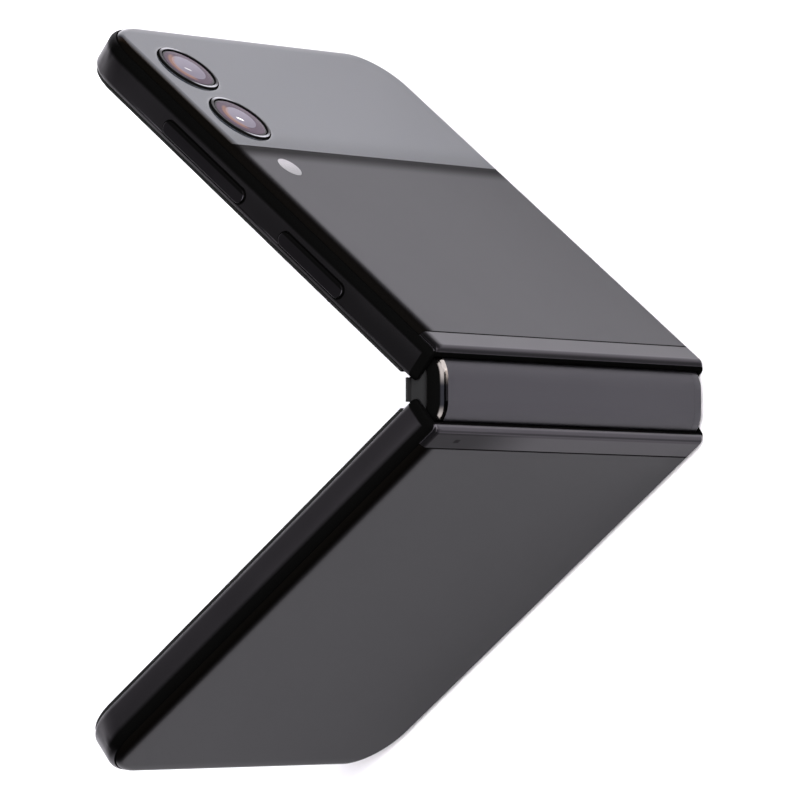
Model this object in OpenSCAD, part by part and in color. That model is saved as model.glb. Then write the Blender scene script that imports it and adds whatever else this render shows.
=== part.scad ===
// Folding telephone standing half open on its long side edges.
// X runs from the lower half to the upper half, Y from the hinge towards the open side, Z along the hinge.
// Each half is drawn lying open: X is the distance s from the fold, Y is minus the depth t behind
// the front face, Z is the place across the width. It is then leaned up about its own hinge axis.

/* [Body] */
// Length of each half from the fold line to its free end
half_len = 83; // [80:0.5:88]
// Width along the hinge
body_w = 72.2; // [70:0.2:76]
// Thickness of one half
body_t = 6.9; // [6.8:0.05:7.4]
// Radius of the two free corners of each half
corner_r = 9.5; // [8:0.5:12]
// Angle that each half is raised from lying flat
half_lean = 51.35; // [40:0.5:62]
// Gap from the fold line to the end of each housing
nose_gap = 0.12; // [0.08:0.02:0.3]
// Depth of the wall section round the frame
wall = 2.6; // [2.4:0.1:3]
// Radius of the frame edge beside the display
front_edge_r = 1; // [1:0.1:1.7]
// Radius of the frame edge beside the back glass
back_edge_r = 1.2; // [1.1:0.1:2.2]
// Thickness of the plate behind the display
plate_t = 0.6; // [0.4:0.1:0.8]

/* [Glass] */
// Thickness of each back glass
glass_t = 0.65; // [0.5:0.05:0.75]
// Distance from the side to the seam between frame and back glass
glass_inset = 0.8; // [0.7:0.05:1.5]
// Width of the rounded border of the back glass
glass_round = 1; // [0.7:0.1:1.5]
// Distance from the fold line to the hinge end of the back glass
glass_start = 4.1; // [3.6:0.1:4.6]
// Width of the seam between the housing strip and the back glass
glass_seam = 0.06; // [0.04:0.01:0.12]

/* [Display] */
// Height of the raised lip round the display
lip_h = 0.4; // [0.3:0.05:0.5]
// Distance from the side to the outer edge of the lip
lip_inset = 0.65; // [0.5:0.05:1.1]
// Distance from the side to the inner edge of the lip
lip_inner = 2.2; // [2:0.1:2.25]
// Distance from the side to the edge of the display
display_inset = 2.3; // [2.3:0.05:2.6]
// Thickness of the display
display_t = 0.65; // [0.5:0.05:0.7]
// Distance from the fold line to where the lip stops
lip_stop = 3.3; // [3:0.1:4]
// Distance of the front camera from the free end
selfie_edge = 6; // [5.5:0.1:8]
// Radius of the hole in the display for the front camera
selfie_r = 1.75; // [1.5:0.05:2]

/* [Hinge] */
// Distance of each hinge axis from the fold line
axis_off = 1.65; // [1.6:0.01:1.7]
// Outer radius of the rounded sides of the spine cover
spine_r = 5.05; // [5:0.05:5.15]
// Wall of the spine cover
spine_wall = 0.55; // [0.45:0.05:0.6]
// Clearance between the spine cover and its pocket
spine_gap = 0.22; // [0.15:0.01:0.3]
// Distance from the side to each end of the spine cover
spine_end = 1.45; // [1.4:0.05:1.8]
// Rounding at the ends of the spine cover
spine_round = 1.8; // [0.6:0.1:1.9]
// Flat rim of the spine cover's end round each end cap
cap_rim = 0.3; // [0.2:0.05:0.5]
// Half the width of the neck of each end cap
cap_neck = 1.95; // [1.2:0.05:2.1]
// Depth of the top edge of the spine cover below the front faces
spine_top = 1.55; // [1.55:0.05:1.7]
// Thickness of the frame wall beside the spine
nose_wall = 1.05; // [0.9:0.05:1.15]
// Distance from the side to the start of each hinge module
module_start = 2.6; // [2.4:0.1:3.2]
// Clearance between the hinge bracket and the spine cover
bracket_gap = 0.08; // [0.05:0.01:0.12]
// Inner radius of the curved rails
rail_in = 2.6; // [2.5:0.05:2.7]
// Outer radius of the curved rails
rail_out = 3.4; // [3.3:0.05:3.5]
// Width of each curved rail
rail_w = 3.6; // [3:0.1:3.6]
// Running clearance round the rails and the slotted webs
run_gap = 0.1; // [0.08:0.01:0.12]
// Thickness of the bracket walls between its bays
bay_wall = 0.6; // [0.5:0.05:0.8]
// Thickness of the wing where it passes over the spine cover
wing_thin = 0.38; // [0.3:0.01:0.4]
// Thickness of the wing where it is screwed down
wing_thick = 0.9; // [0.8:0.05:1]
// Thickness of each slotted web
web_t = 0.8; // [0.6:0.05:0.9]
// Distance from the fold line to the outer edge of the wing
wing_reach = 10; // [9.8:0.05:10.05]

/* [Gears] */
// Pitch radius of the four synchronising gears
gear_r = 0.95; // [0.93:0.01:0.95]
// Number of teeth, an even number
gear_teeth = 10; // [10:2:12]
// Depth of the gear axes below the front faces
gear_depth = 2.55; // [2.5:0.01:2.6]
// Width of each gear
gear_w = 2; // [1.6:0.1:2.2]
// Radius of the arm shafts
shaft_r = 0.42; // [0.38:0.01:0.42]
// Running clearance between a shaft and its bore
shaft_gap = 0.05; // [0.03:0.01:0.06]
// Radius of the idler pins
idler_pin_r = 0.3; // [0.25:0.01:0.35]
// Radius of the crank pins
crank_pin_r = 0.28; // [0.24:0.01:0.3]
// Clearance round each crank pin in its curved slot
slot_gap = 0.07; // [0.06:0.01:0.1]
// Offset of each crank pin along its half
crank_s = 0.3; // [0.25:0.01:0.35]
// Offset of each crank pin away from the front face
crank_t = 0.8; // [0.78:0.01:0.84]
// Length of each bay that holds disc springs
spring_bay = 5; // [4.5:0.1:5.5]

/* [Cameras] */
// Distance of the first lens from the free end
lens_edge = 11.93; // [11:0.01:13]
// Gap between the two lens rings
lens_gap = 2.24; // [1.5:0.01:3]
// Distance of both lenses from the side with the keys
lens_side = 11.65; // [11:0.05:13]
// Outer radius of the lens rings
ring_r = 5.35; // [5:0.05:5.6]
// Width of the lens rings
ring_w = 0.75; // [0.6:0.05:1]
// Height of the lens rings above the back glass
ring_h = 0.5; // [0.3:0.05:1]
// Distance of the flash from the second lens, along the half
flash_step = 12.41; // [11:0.01:13]
// Distance of the flash from the side with the keys
flash_side = 11.5; // [11:0.05:13]
// Radius of the flash window
flash_r = 2.1; // [1.8:0.05:2.4]

/* [Keys] */
// Distance of the volume key's near end from the fold line
vol_s = 42.15; // [42:0.05:44]
// Length of the volume key
vol_len = 19.3; // [17:0.1:19.5]
// Distance of the side key's near end from the fold line
side_s = 18.5; // [17:0.1:20]
// Length of the side key
side_len = 14.8; // [13:0.1:16]
// Width of both keys
key_w = 2.35; // [2:0.05:2.5]
// Depth of the middle of the keys below the front face
key_depth = 2.57; // [2.5:0.01:2.8]
// Height of the keys above the frame
key_h = 0.35; // [0.2:0.05:0.5]
// Clearance round the keys
key_gap = 0.12; // [0.08:0.01:0.2]
// Travel of the keys
key_travel = 0.3; // [0.2:0.05:0.35]
// Rim on each key that keeps it in the frame
key_rim = 0.5; // [0.4:0.05:0.7]

/* [Card tray] */
// Distance of the tray from the free end
tray_edge = 16.4; // [14:0.1:18]
// Length of the tray along the side
tray_len = 14.6; // [14.4:0.1:15.2]
// Depth that the tray goes into the body
tray_in = 11.4; // [11:0.1:12]
// Thickness of the tray
tray_t = 1.2; // [1.1:0.05:1.4]
// Depth of the middle of the tray below the front face
tray_depth = 3; // [2.8:0.05:3.2]
// Thickness of the tray's outer face
tray_face = 1.2; // [1:0.1:1.4]

/* [Socket] */
// Outer width of the charging socket
usb_w = 8.94; // [8.9:0.01:9.2]
// Outer height of the charging socket
usb_h = 3.16; // [3.1:0.01:3.2]
// Wall of the charging socket
usb_wall = 0.3; // [0.2:0.05:0.35]
// Length of the charging socket
usb_len = 7.2; // [6.5:0.1:7.5]
// Number of speaker holes
grille_n = 6; // [4:1:7]
// Radius of the speaker holes
grille_r = 0.55; // [0.4:0.05:0.65]
// Distance between the speaker holes
grille_pitch = 1.9; // [1.6:0.1:2.1]

/* [Inside] */
// Length between the lower battery and the free end, for the small board and the speaker
batt_room = 20.9; // [20:0.1:24]
// Distance from the hinge housing to the lower battery, for the motor
batt_start = 8; // [7:0.1:10]
// Distance of the lower battery from the sides
batt_side = 8.1; // [7:0.1:11]
// Distance from the upper battery to the card tray along the half
batt2_gap = 7.9; // [5:0.1:10]
// Distance of the upper battery from the side with the card tray
batt2_side = 4; // [3.5:0.1:6]
// Width between the upper battery and the side with the keys
batt2_room = 16.2; // [14:0.1:20]
// Clearance between the charging coil and the back glass
batt_clear = 0.7; // [0.5:0.05:1]
// Clearance between parts that lie side by side inside
inner_gap = 0.1; // [0.05:0.01:0.15]
// Outer radius of the charging coil
coil_r = 21; // [18:0.5:23]
// Width of the charging coil's ring
coil_w = 9; // [6:0.5:11]
// Thickness of the charging coil
coil_t = 0.4; // [0.3:0.05:0.45]
// Thickness of the circuit boards
board_t = 0.8; // [0.6:0.05:0.9]
// Height of the shielding can
can_h = 1.5; // [1.2:0.05:1.6]
// Width of the vibration motor
motor_w = 10; // [8:0.5:12]
// Distance of the vibration motor from the side with the keys
motor_side = 18; // [14:0.5:22]
// Thickness of the vibration motor
motor_t = 3; // [2.5:0.1:3.4]
// Thickness of the speaker
speaker_t = 3.6; // [3:0.1:3.8]
// Width of the earpiece
ear_w = 14; // [10:0.5:15]
// Distance of the earpiece from the middle of the width
ear_off = 4; // [3.5:0.1:6]
// Length of the earpiece along the half
ear_len = 5.3; // [4:0.1:5.5]
// Thickness of the earpiece
ear_t = 2; // [1.6:0.1:2.4]
// Height of the key switches
switch_t = 2.4; // [2.2:0.1:2.8]
// Width of each key switch along the half
switch_w = 3; // [2:0.1:4]
// Radius of the microphone holes
mic_r = 0.5; // [0.4:0.05:0.6]
// Distance of the microphone holes from the middle of the width
mic_off = 14; // [12:0.5:16]
// Half the width of the base of each rear camera
cam_half = 4.2; // [3.8:0.1:4.4]
// Half the width of the base of the front camera
selfie_half = 2.4; // [2:0.1:2.6]
// Width of the small outer display
cover_w = 43; // [40:0.5:44]
// Height of the small outer display
cover_h = 21.85; // [20:0.05:23]
// Radius of the screw shanks
screw_r = 0.45; // [0.35:0.01:0.5]

/* [Hidden] */
$fn = 64;
// A little extra so that cuts run clear of the faces
e = 1;
// Places of the lenses, the flash and the card tray from their distances to the edges
lens_s1 = half_len - lens_edge;
lens_s2 = lens_s1 - 2 * ring_r - lens_gap;
lens_z = body_w - lens_side;
flash_s = lens_s2 - flash_step;
flash_z = body_w - flash_side;
tray_s = half_len - tray_edge - tray_len;
// Depth of the seat of the back glass
seat_t = body_t - glass_t;
// Depth of the back of the display, where its plate starts
bed_t = lip_h + display_t;
// Middle of the display's thickness, which keeps its length when it bends
mid_t = lip_h + display_t / 2;
// Depth behind the plate, where the inner parts start
inside_t = bed_t + plate_t;
// Thickness of both batteries, from what the body leaves
batt_t = seat_t - inside_t - coil_t - batt_clear;
// Radius of the rounded border of the back glass, from its width and height
glass_edge_r = (pow(glass_round, 2) + pow(glass_t, 2)) / (2 * glass_t);
// Radius of the pocket for the spine in each half
pocket_r = spine_r + spine_gap;
// Inner radius of the spine cover
spine_in = spine_r - spine_wall;
// Radius that the hinge parts inside the spine cover keep to
hinge_r = spine_in - bracket_gap;
// End of the hinge housing that lies under the back glass
block_end = wing_reach + 0.1;
// Depth of the top of the wings, just behind the display
wing_t0 = bed_t + 0.05;
// Outer radius of the slotted webs
web_r = hinge_r - 0.04;
// Distances of the gear axes from the fold line
arm_x = 3 * gear_r;
idler_x = gear_r;
// Place of the arm axis as seen from the hinge axis of its half
arm_dx = arm_x - axis_off;
slot_r = sqrt(pow(arm_dx, 2) + pow(gear_depth, 2));
slot_a = atan2(-gear_depth, arm_dx);
// Tooth size
gear_mod = 2 * gear_r / gear_teeth;
gear_tip = gear_r + 0.85 * gear_mod;
gear_root = gear_r - gear_mod;
crank_r = crank_pin_r + sqrt(pow(crank_s, 2) + pow(crank_t, 2)) + 0.1;
// Bays of one hinge module, counted from its outer end
z_rail_l = 0.8;
z_rail_u = z_rail_l + rail_w + 2 * run_gap + bay_wall - 0.2;
z_bay_u = z_rail_u + rail_w + 2 * run_gap + bay_wall;
z_web_l = z_bay_u + spring_bay + bay_wall;
z_crank_l = z_web_l + web_t + 2 * run_gap + 0.15;
crank_w = 0.75;
z_gear = z_crank_l + crank_w + 0.1;
z_crank_u = z_gear + gear_w + 0.1;
z_web_u = z_crank_u + crank_w + 0.15;
z_bay_l = z_web_u + web_t + 2 * run_gap + bay_wall;
module_len = z_bay_l + spring_bay + 0.8;
// The bend of the display: length from the fold line that is curved, and the radius of its middle
lean_rad = half_lean * PI / 180;
bend_s = (axis_off * (1 - cos(half_lean)) + mid_t * sin(half_lean))
  / (sin(half_lean) / lean_rad - cos(half_lean));
bend_r = bend_s / lean_rad;
bend_y = (bend_s - axis_off) * sin(half_lean) + (bend_r - mid_t) * cos(half_lean);
// The part's origin is under the middle of the outline in Y
y_low = (nose_gap - axis_off) * sin(half_lean) - body_t * cos(half_lean);
y_high = (half_len - lip_inset - axis_off) * sin(half_lean);
rest_y = (y_low + y_high) / 2;
dark = [0.13, 0.13, 0.14];
graphite = [0.3, 0.3, 0.33];
steel = [0.62, 0.63, 0.66];

// Places

// A box given by its limits along s, in depth and across the width
module slab(s0, s1, t0, t1, z0, z1) {
  translate([s0, -t1, z0])
    cube([s1 - s0, t1 - t0, z1 - z0]);
}
// Puts hinge parts, drawn round the fold line, into the model
module spine_place() {
  translate([0, -rest_y, 0])
    children();
}
// Leans a half that is drawn lying open about its own hinge axis
module upper_place() {
  spine_place()
    translate([axis_off, 0, 0])
      rotate([0, 0, half_lean])
        translate([-axis_off, 0, 0])
          children();
}
module lower_place() {
  mirror([1, 0, 0])
    upper_place()
      children();
}
// Puts a hinge module at one end of the hinge, or mirrored at the other
module station(k) {
  if (k == 1) {
    translate([0, 0, module_start])
      children();
  } else {
    translate([0, 0, body_w - module_start])
      mirror([0, 0, 1])
        children();
  }
}
// A round bar or hole across the depth, from t0 to t1
module depth_rod(s, z, r, t0, t1) {
  translate([s, -t0, z])
    rotate([90, 0, 0])
      cylinder(r = r, h = t1 - t0);
}

// Sweeps

// Sweeps a section round the long sides and the free end; its x is the distance in from the side
module round_sides(s0) {
  straight = half_len - corner_r;
  for (m = [0, 1]) {
    translate([0, 0, m * body_w])
      mirror([0, 0, m]) {
        translate([straight, 0, 0])
          rotate([0, -90, 0])
            linear_extrude(straight - s0)
              children();
        translate([straight, 0, corner_r])
          mirror([0, 0, 1])
            rotate([90, 0, 0])
              rotate_extrude(angle = 90)
                mirror([0, 1])
                  translate([corner_r, 0])
                    mirror([1, 0])
                      children();
      }
  }
  translate([half_len, 0, corner_r])
    mirror([1, 0, 0])
      linear_extrude(body_w - 2 * corner_r)
        children();
}
// Section of the frame: rounded outside, a shelf for the display and a seat for the back glass
module frame_section() {
  intersection() {
    translate([front_edge_r, -lip_h - front_edge_r])
      circle(r = front_edge_r);
    translate([0, -body_t])
      square([front_edge_r, body_t]);
  }
  intersection() {
    translate([back_edge_r, -seat_t + back_edge_r])
      circle(r = back_edge_r);
    translate([0, -body_t])
      square([back_edge_r, body_t]);
  }
  translate([0, -seat_t + back_edge_r])
    square([wall, seat_t - back_edge_r - lip_h - front_edge_r]);
  translate([front_edge_r, -bed_t - e])
    square([display_inset - 0.1 - front_edge_r, e + display_t]);
  translate([front_edge_r, -seat_t + back_edge_r])
    square([wall - front_edge_r, seat_t - back_edge_r - bed_t]);
  translate([back_edge_r, -seat_t])
    square([wall - back_edge_r, back_edge_r + e]);
}
// Section of the rounded border of the back glass and its flat part as far as the corner radius
module glass_section(flat_to) {
  intersection() {
    translate([glass_inset + glass_round, -body_t + glass_edge_r])
      circle(r = glass_edge_r);
    translate([glass_inset, -body_t])
      square([glass_round, glass_t]);
  }
  translate([glass_inset + glass_round, -body_t])
    square([flat_to - glass_inset - glass_round, glass_t]);
}

// Halves

// Room for the spine: round about the hinge axis, open towards the other half
module spine_pocket() {
  translate([axis_off, 0, nose_wall])
    cylinder(r = pocket_r, h = body_w - 2 * nose_wall, $fn = 96);
  slab(-e, axis_off, -e, pocket_r, nose_wall, body_w - nose_wall);
}
// The frame of one half, with its plate, its hinge housing and the room for the hinge
module half_frame(own_rail, own_web) {
  difference() {
    union() {
      round_sides(nose_gap)
        frame_section();
      // plate behind the display
      round_sheet(block_end - e, wall - 0.2, bed_t, inside_t);
      // hinge housing, full depth as far as the back glass
      slab(nose_gap, block_end, bed_t, seat_t, wall - 0.2, body_w - wall + 0.2);
      translate([glass_start - glass_seam, 0, 0])
        rotate([0, -90, 0])
          linear_extrude(glass_start - glass_seam - nose_gap)
            glass_section(body_w / 2);
      translate([glass_start - glass_seam, 0, body_w])
        mirror([0, 0, 1])
          rotate([0, -90, 0])
            linear_extrude(glass_start - glass_seam - nose_gap)
              glass_section(body_w / 2);
    }
    spine_pocket();
    for (k = [1, 2]) {
      station(k) {
        // seat of the wing
        slab(pocket_r, block_end + e, -e, wing_t0 + wing_thick,
          own_rail - inner_gap, own_web + web_t + inner_gap);
        // tapped holes for the screws
        for (z = screw_places(own_rail, own_web))
          depth_rod(screw_s, z, screw_r + 0.02, 0, screw_end);
      }
    }
  }
}
screw_s = wing_reach - 1.2;
screw_end = wing_t0 + wing_thick + 1.8;
function screw_places(a, b) = [a + 2, (a + b + web_t) / 2, b + web_t - 2];
// The back glass of one half
module half_glass() {
  round_sides(glass_start)
    glass_section(corner_r);
  slab(glass_start, half_len - corner_r + 0.01, seat_t, body_t, corner_r - 0.01, body_w - corner_r + 0.01);
}
// The raised lip round the display
module half_bezel() {
  round_sides(lip_stop)
    translate([lip_inset, -lip_h])
      square([lip_inner - lip_inset, lip_h]);
}
// The rigid part of the display on one half
module half_display() {
  round_sheet(bend_s + 0.02, display_inset, lip_h, bed_t);
}
// A flat sheet from s0 to the free end, set in from the sides, with the free corners rounded to match
module round_sheet(s0, inset, t0, t1) {
  c = half_len - corner_r;
  slab(s0, c, t0, t1, inset, body_w - inset);
  slab(c - 0.01, half_len - inset, t0, t1, corner_r, body_w - corner_r);
  depth_rod(c, corner_r, corner_r - inset, t0, t1);
  depth_rod(c, body_w - corner_r, corner_r - inset, t0, t1);
}

module lower_frame() {
  color(dark)
    lower_place()
      difference() {
        half_frame(z_rail_l + run_gap, z_web_l + run_gap);
        // mouth of the charging socket
        translate([half_len - wall - e, -usb_mid, body_w / 2])
          rotate([0, 90, 0])
            linear_extrude(wall + 2 * e)
              pill_flat(usb_w + 2 * inner_gap, usb_h + 2 * inner_gap);
        // speaker holes and microphone hole
        for (i = [0 : grille_n - 1])
          end_hole(grille_z + i * grille_pitch, grille_r);
        end_hole(body_w / 2 - mic_off + 3, mic_r);
      }
}
module upper_frame() {
  color(dark)
    upper_place()
      difference() {
        half_frame(z_rail_u + run_gap, z_web_u + run_gap);
        // slots for the keys
        key_slot(vol_s, vol_len);
        key_slot(side_s, side_len);
        // slot for the card tray
        translate([tray_s + tray_len / 2, -tray_depth, -e])
          linear_extrude(wall + 2 * e)
            pill_flat(tray_len + 2 * key_gap, tray_t + 0.6 + 2 * key_gap);
        // opening for the front camera
        depth_rod(half_len - selfie_edge, body_w / 2, selfie_r, 0, inside_t + e);
        // microphone holes
        end_hole(body_w / 2 - mic_off, mic_r);
        end_hole(body_w / 2 + mic_off + 6, mic_r);
      }
}
usb_mid = (bed_t + seat_t) / 2 + 0.1;
grille_z = body_w / 2 + usb_w / 2 + 4.03;
// A hole through the wall of the free end
module end_hole(z, r) {
  translate([half_len - wall - e, -usb_mid, z])
    rotate([0, 90, 0])
      cylinder(r = r, h = wall + 2 * e);
}
// A slot with half round ends, w long and h wide
module pill_flat(w, h) {
  translate([-w / 2 + h / 2, 0])
    circle(d = h);
  translate([w / 2 - h / 2, 0])
    circle(d = h);
  translate([-w / 2 + h / 2, -h / 2])
    square([w - h, h]);
}
module key_slot(s0, len) {
  translate([s0 + len / 2, -key_depth, body_w - wall - e])
    linear_extrude(wall + 2 * e)
      pill_flat(len + 2 * key_gap, key_w + 2 * key_gap);
}
module lower_back_glass() {
  color(graphite)
    lower_place()
      half_glass();
}
module upper_back_glass() {
  color(graphite)
    upper_place()
      difference() {
        half_glass();
        depth_rod(lens_s1, lens_z, ring_r - ring_w, seat_t - e, body_t + e);
        depth_rod(lens_s2, lens_z, ring_r - ring_w, seat_t - e, body_t + e);
        depth_rod(flash_s, flash_z, flash_r + 0.05, seat_t - e, body_t + e);
      }
}
module lower_bezel() {
  color(dark)
    lower_place()
      half_bezel();
}
module upper_bezel() {
  color(dark)
    upper_place()
      half_bezel();
}
module lower_display() {
  color("black")
    lower_place()
      half_display();
}
module upper_display() {
  color("black")
    upper_place()
      difference() {
        half_display();
        depth_rod(half_len - selfie_edge, body_w / 2, selfie_r, 0, bed_t + e);
      }
}
// One side of the display across the fold, curved from the fold line to where the half's flat display starts
module fold_strip() {
  color("black")
    spine_place()
      translate([0, bend_y, 0])
        rotate([0, 0, -90])
          rotate_extrude(angle = half_lean, $fn = 96)
            translate([bend_r - display_t / 2, display_inset])
              square([display_t, body_w - 2 * display_inset]);
}
module fold_strip_upper() {
  fold_strip();
}
module fold_strip_lower() {
  mirror([1, 0, 0])
    fold_strip();
}

// Inner parts of the lower half

batt_s = block_end + batt_start;
batt_len = half_len - batt_room - batt_s;
module lower_battery() {
  color(steel)
    lower_place()
      slab(batt_s, batt_s + batt_len, inside_t, inside_t + batt_t,
        batt_side, body_w - batt_side);
}
module charging_coil() {
  color("peru")
    lower_place()
      difference() {
        depth_rod(batt_s + batt_len / 2, body_w / 2, coil_r, inside_t + batt_t, inside_t + batt_t + coil_t);
        depth_rod(batt_s + batt_len / 2, body_w / 2, coil_r - coil_w,
          inside_t + batt_t - e, inside_t + batt_t + coil_t + e);
      }
}
sub_s = batt_s + batt_len + 2;
module sub_board() {
  color("darkgreen")
    lower_place() {
      difference() {
        slab(sub_s, half_len - wall - inner_gap, inside_t, inside_t + board_t,
          corner_r, body_w / 2 + usb_w / 2 + 1);
        slab(half_len - usb_len - 0.2 - inner_gap, half_len, 0, body_t,
          body_w / 2 - usb_w / 2 - inner_gap, body_w / 2 + usb_w / 2 + inner_gap);
      }
    }
}
module usb_socket() {
  color(steel)
    lower_place()
      translate([half_len - usb_len - 0.2, -usb_mid, body_w / 2])
        rotate([0, 90, 0])
          difference() {
            linear_extrude(usb_len)
              pill_flat(usb_w, usb_h);
            difference() {
              translate([0, 0, 1])
                linear_extrude(usb_len)
                  pill_flat(usb_w - 2 * usb_wall, usb_h - 2 * usb_wall);
              // contact tongue
              translate([-3.35, -0.35, 0])
                cube([6.7, 0.7, usb_len - 1.2]);
            }
          }
}
module bottom_speaker() {
  color(dark)
    lower_place()
      slab(sub_s, half_len - wall - inner_gap, inside_t, inside_t + speaker_t,
        body_w / 2 + usb_w / 2 + 1.5, body_w - corner_r);
}
module vibration_motor() {
  color(steel)
    lower_place()
      slab(block_end + 0.5, batt_s - 0.5, inside_t, inside_t + motor_t,
        body_w - motor_side - motor_w, body_w - motor_side);
}

// Inner parts of the upper half

module upper_battery() {
  color(steel)
    upper_place()
      slab(block_end + 1, tray_s - batt2_gap, inside_t, inside_t + batt_t,
        batt2_side, body_w - batt2_room);
}
board_s = tray_s - 4;
board_z0 = tray_in + 3;
board_z1 = lens_z - ring_r - 0.5;
module main_board() {
  color("darkgreen")
    upper_place()
      slab(board_s, half_len - selfie_edge - selfie_r - 1, inside_t, inside_t + board_t, board_z0, board_z1);
}
module board_shield() {
  color(steel)
    upper_place()
      difference() {
        slab(board_s + 2, half_len - selfie_edge - selfie_r - 3, inside_t + board_t,
          inside_t + board_t + can_h, board_z0 + 2, board_z1 - 2);
        slab(board_s + 2.2, half_len - selfie_edge - selfie_r - 3.2, inside_t + board_t - e,
          inside_t + board_t + can_h - 0.2, board_z0 + 2.2, board_z1 - 2.2);
      }
}
module cover_display() {
  color("black")
    upper_place()
      slab(lens_s1 + 5 - cover_h, lens_s1 + 5, seat_t - 0.5, seat_t,
        board_z1 - 1 - cover_w, board_z1 - 1);
}
module lens_ring(s) {
  color(steel)
    upper_place()
      difference() {
        depth_rod(s, lens_z, ring_r, body_t, body_t + ring_h);
        depth_rod(s, lens_z, ring_r - ring_w, body_t - e, body_t + ring_h + e);
      }
}
module lens_ring_1() {
  lens_ring(lens_s1);
}
module lens_ring_2() {
  lens_ring(lens_s2);
}
// Round cover glass that fills the ring
module lens_glass(s) {
  color("slategray")
    upper_place()
      depth_rod(s, lens_z, ring_r - ring_w - 0.02, body_t - 0.3, body_t + ring_h - 0.15);
}
module lens_glass_1() {
  lens_glass(lens_s1);
}
module lens_glass_2() {
  lens_glass(lens_s2);
}
// Camera with a square base on the plate and a round barrel up to its cover glass
module camera_module(s) {
  color(dark)
    upper_place() {
      slab(s - cam_half, s + cam_half, inside_t, inside_t + 2, lens_z - cam_half, lens_z + cam_half);
      depth_rod(s, lens_z, ring_r - ring_w - 0.6, inside_t + 1.9, body_t - 0.3);
    }
}
module camera_module_1() {
  camera_module(lens_s1);
}
module camera_module_2() {
  camera_module(lens_s2);
}
module flash_window() {
  color("white")
    upper_place()
      depth_rod(flash_s, flash_z, flash_r, seat_t - 0.8, body_t + 0.02);
}
module front_camera() {
  color(dark)
    upper_place() {
      depth_rod(half_len - selfie_edge, body_w / 2, selfie_r - 0.08, lip_h + 0.1, inside_t);
      slab(half_len - selfie_edge - selfie_half, half_len - selfie_edge + selfie_half,
        inside_t, inside_t + 2.4, body_w / 2 - selfie_half, body_w / 2 + selfie_half);
    }
}
module earpiece() {
  color(dark)
    upper_place()
      slab(half_len - wall - ear_len - inner_gap, half_len - wall - inner_gap, inside_t, inside_t + ear_t,
        body_w / 2 - ear_off - ear_w, body_w / 2 - ear_off);
}
switch_z = body_w - wall - key_gap - key_rim - key_travel - 0.05;
// Flexible strip on the plate that carries one switch for each end of the volume key and one for the side key
module key_switches() {
  color("goldenrod")
    upper_place() {
      slab(side_s, vol_s + vol_len, inside_t, inside_t + switch_t, switch_z - 1.4, switch_z - 0.9);
      for (s = [side_s + side_len / 2, vol_s + 4, vol_s + vol_len - 4])
        slab(s - switch_w / 2, s + switch_w / 2, inside_t, inside_t + switch_t, switch_z - 1, switch_z);
    }
}
// A key with half round ends and a rim behind the frame wall
module side_button(s0, len) {
  translate([s0 + len / 2, -key_depth, body_w - wall - key_gap - key_rim])
    linear_extrude(wall + key_gap + key_rim + key_h)
      pill_flat(len, key_w);
  translate([s0 - 0.8, -key_depth - 0.6, body_w - wall - key_gap - key_rim])
    cube([len + 1.6, 1.2, key_rim]);
}
module volume_key() {
  color(dark)
    upper_place()
      side_button(vol_s, vol_len);
}
module side_key() {
  color(dark)
    upper_place()
      side_button(side_s, side_len);
}
card_w = 12.3;
card_h = 8.8;
card_t = 0.67;
card_s = tray_s + (tray_len - card_w) / 2;
card_z = tray_face + 0.4;
module card_tray() {
  color(dark)
    upper_place()
      difference() {
        union() {
          translate([tray_s + tray_len / 2, -tray_depth, 0.04])
            linear_extrude(tray_face)
              pill_flat(tray_len, tray_t + 0.6);
          slab(tray_s + 0.3, tray_s + tray_len - 0.3, tray_depth - tray_t / 2, tray_depth + tray_t / 2,
            tray_face - 0.1, tray_in);
        }
        // pocket for the card
        slab(card_s - 0.06, card_s + card_w + 0.06, tray_depth - tray_t, tray_depth + tray_t / 2 - 0.25,
          card_z - 0.06, card_z + card_h + 0.06);
      }
}
module card() {
  color("gold")
    upper_place()
      slab(card_s, card_s + card_w, tray_depth + tray_t / 2 - 0.25 - card_t, tray_depth + tray_t / 2 - 0.25,
        card_z, card_z + card_h);
}

// Spine

// Outline of the spine for a radius, drawn across the hinge
module spine_outline(r) {
  intersection() {
    union() {
      translate([axis_off, 0])
        circle(r = r, $fn = 96);
      translate([-axis_off, 0])
        circle(r = r, $fn = 96);
      translate([-axis_off, -r])
        square([2 * axis_off, 2 * r]);
    }
    translate([-2 * r, -2 * r])
      square([4 * r, 2 * r]);
  }
}
// Half of the long section of the spine, from its middle line out to radius r
module spine_profile(r, z0, z1, round) {
  square_from(0, z0, r - round, z1);
  square_from(0, z0 + round, r, z1 - round);
  translate([r - round, z0 + round])
    circle(r = round);
  translate([r - round, z1 - round])
    circle(r = round);
}
module square_from(x0, y0, x1, y1) {
  translate([x0, y0])
    square([x1 - x0, y1 - y0]);
}
// Round sides and flat back made from that section
module spine_solid(r, z0, z1, round) {
  for (m = [0, 1])
    mirror([m, 0, 0])
      translate([axis_off, 0, 0])
        rotate([0, 0, -90])
          rotate_extrude(angle = 90, $fn = 96)
            spine_profile(r, z0, z1, round);
  translate([axis_off, 0, 0])
    rotate([90, 0, -90])
      linear_extrude(2 * axis_off)
        spine_profile(r, z0, z1, round);
}
module spine_cover() {
  color(graphite)
    spine_place()
      difference() {
        spine_solid(spine_r, spine_end, body_w - spine_end, spine_round);
        spine_solid(spine_in, spine_end + 0.7, body_w - spine_end - 0.7, 0.5);
        translate([-2 * spine_r, -spine_top, -e])
          cube([4 * spine_r, 2 * spine_r, body_w + 2 * e]);
      }
}
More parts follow.
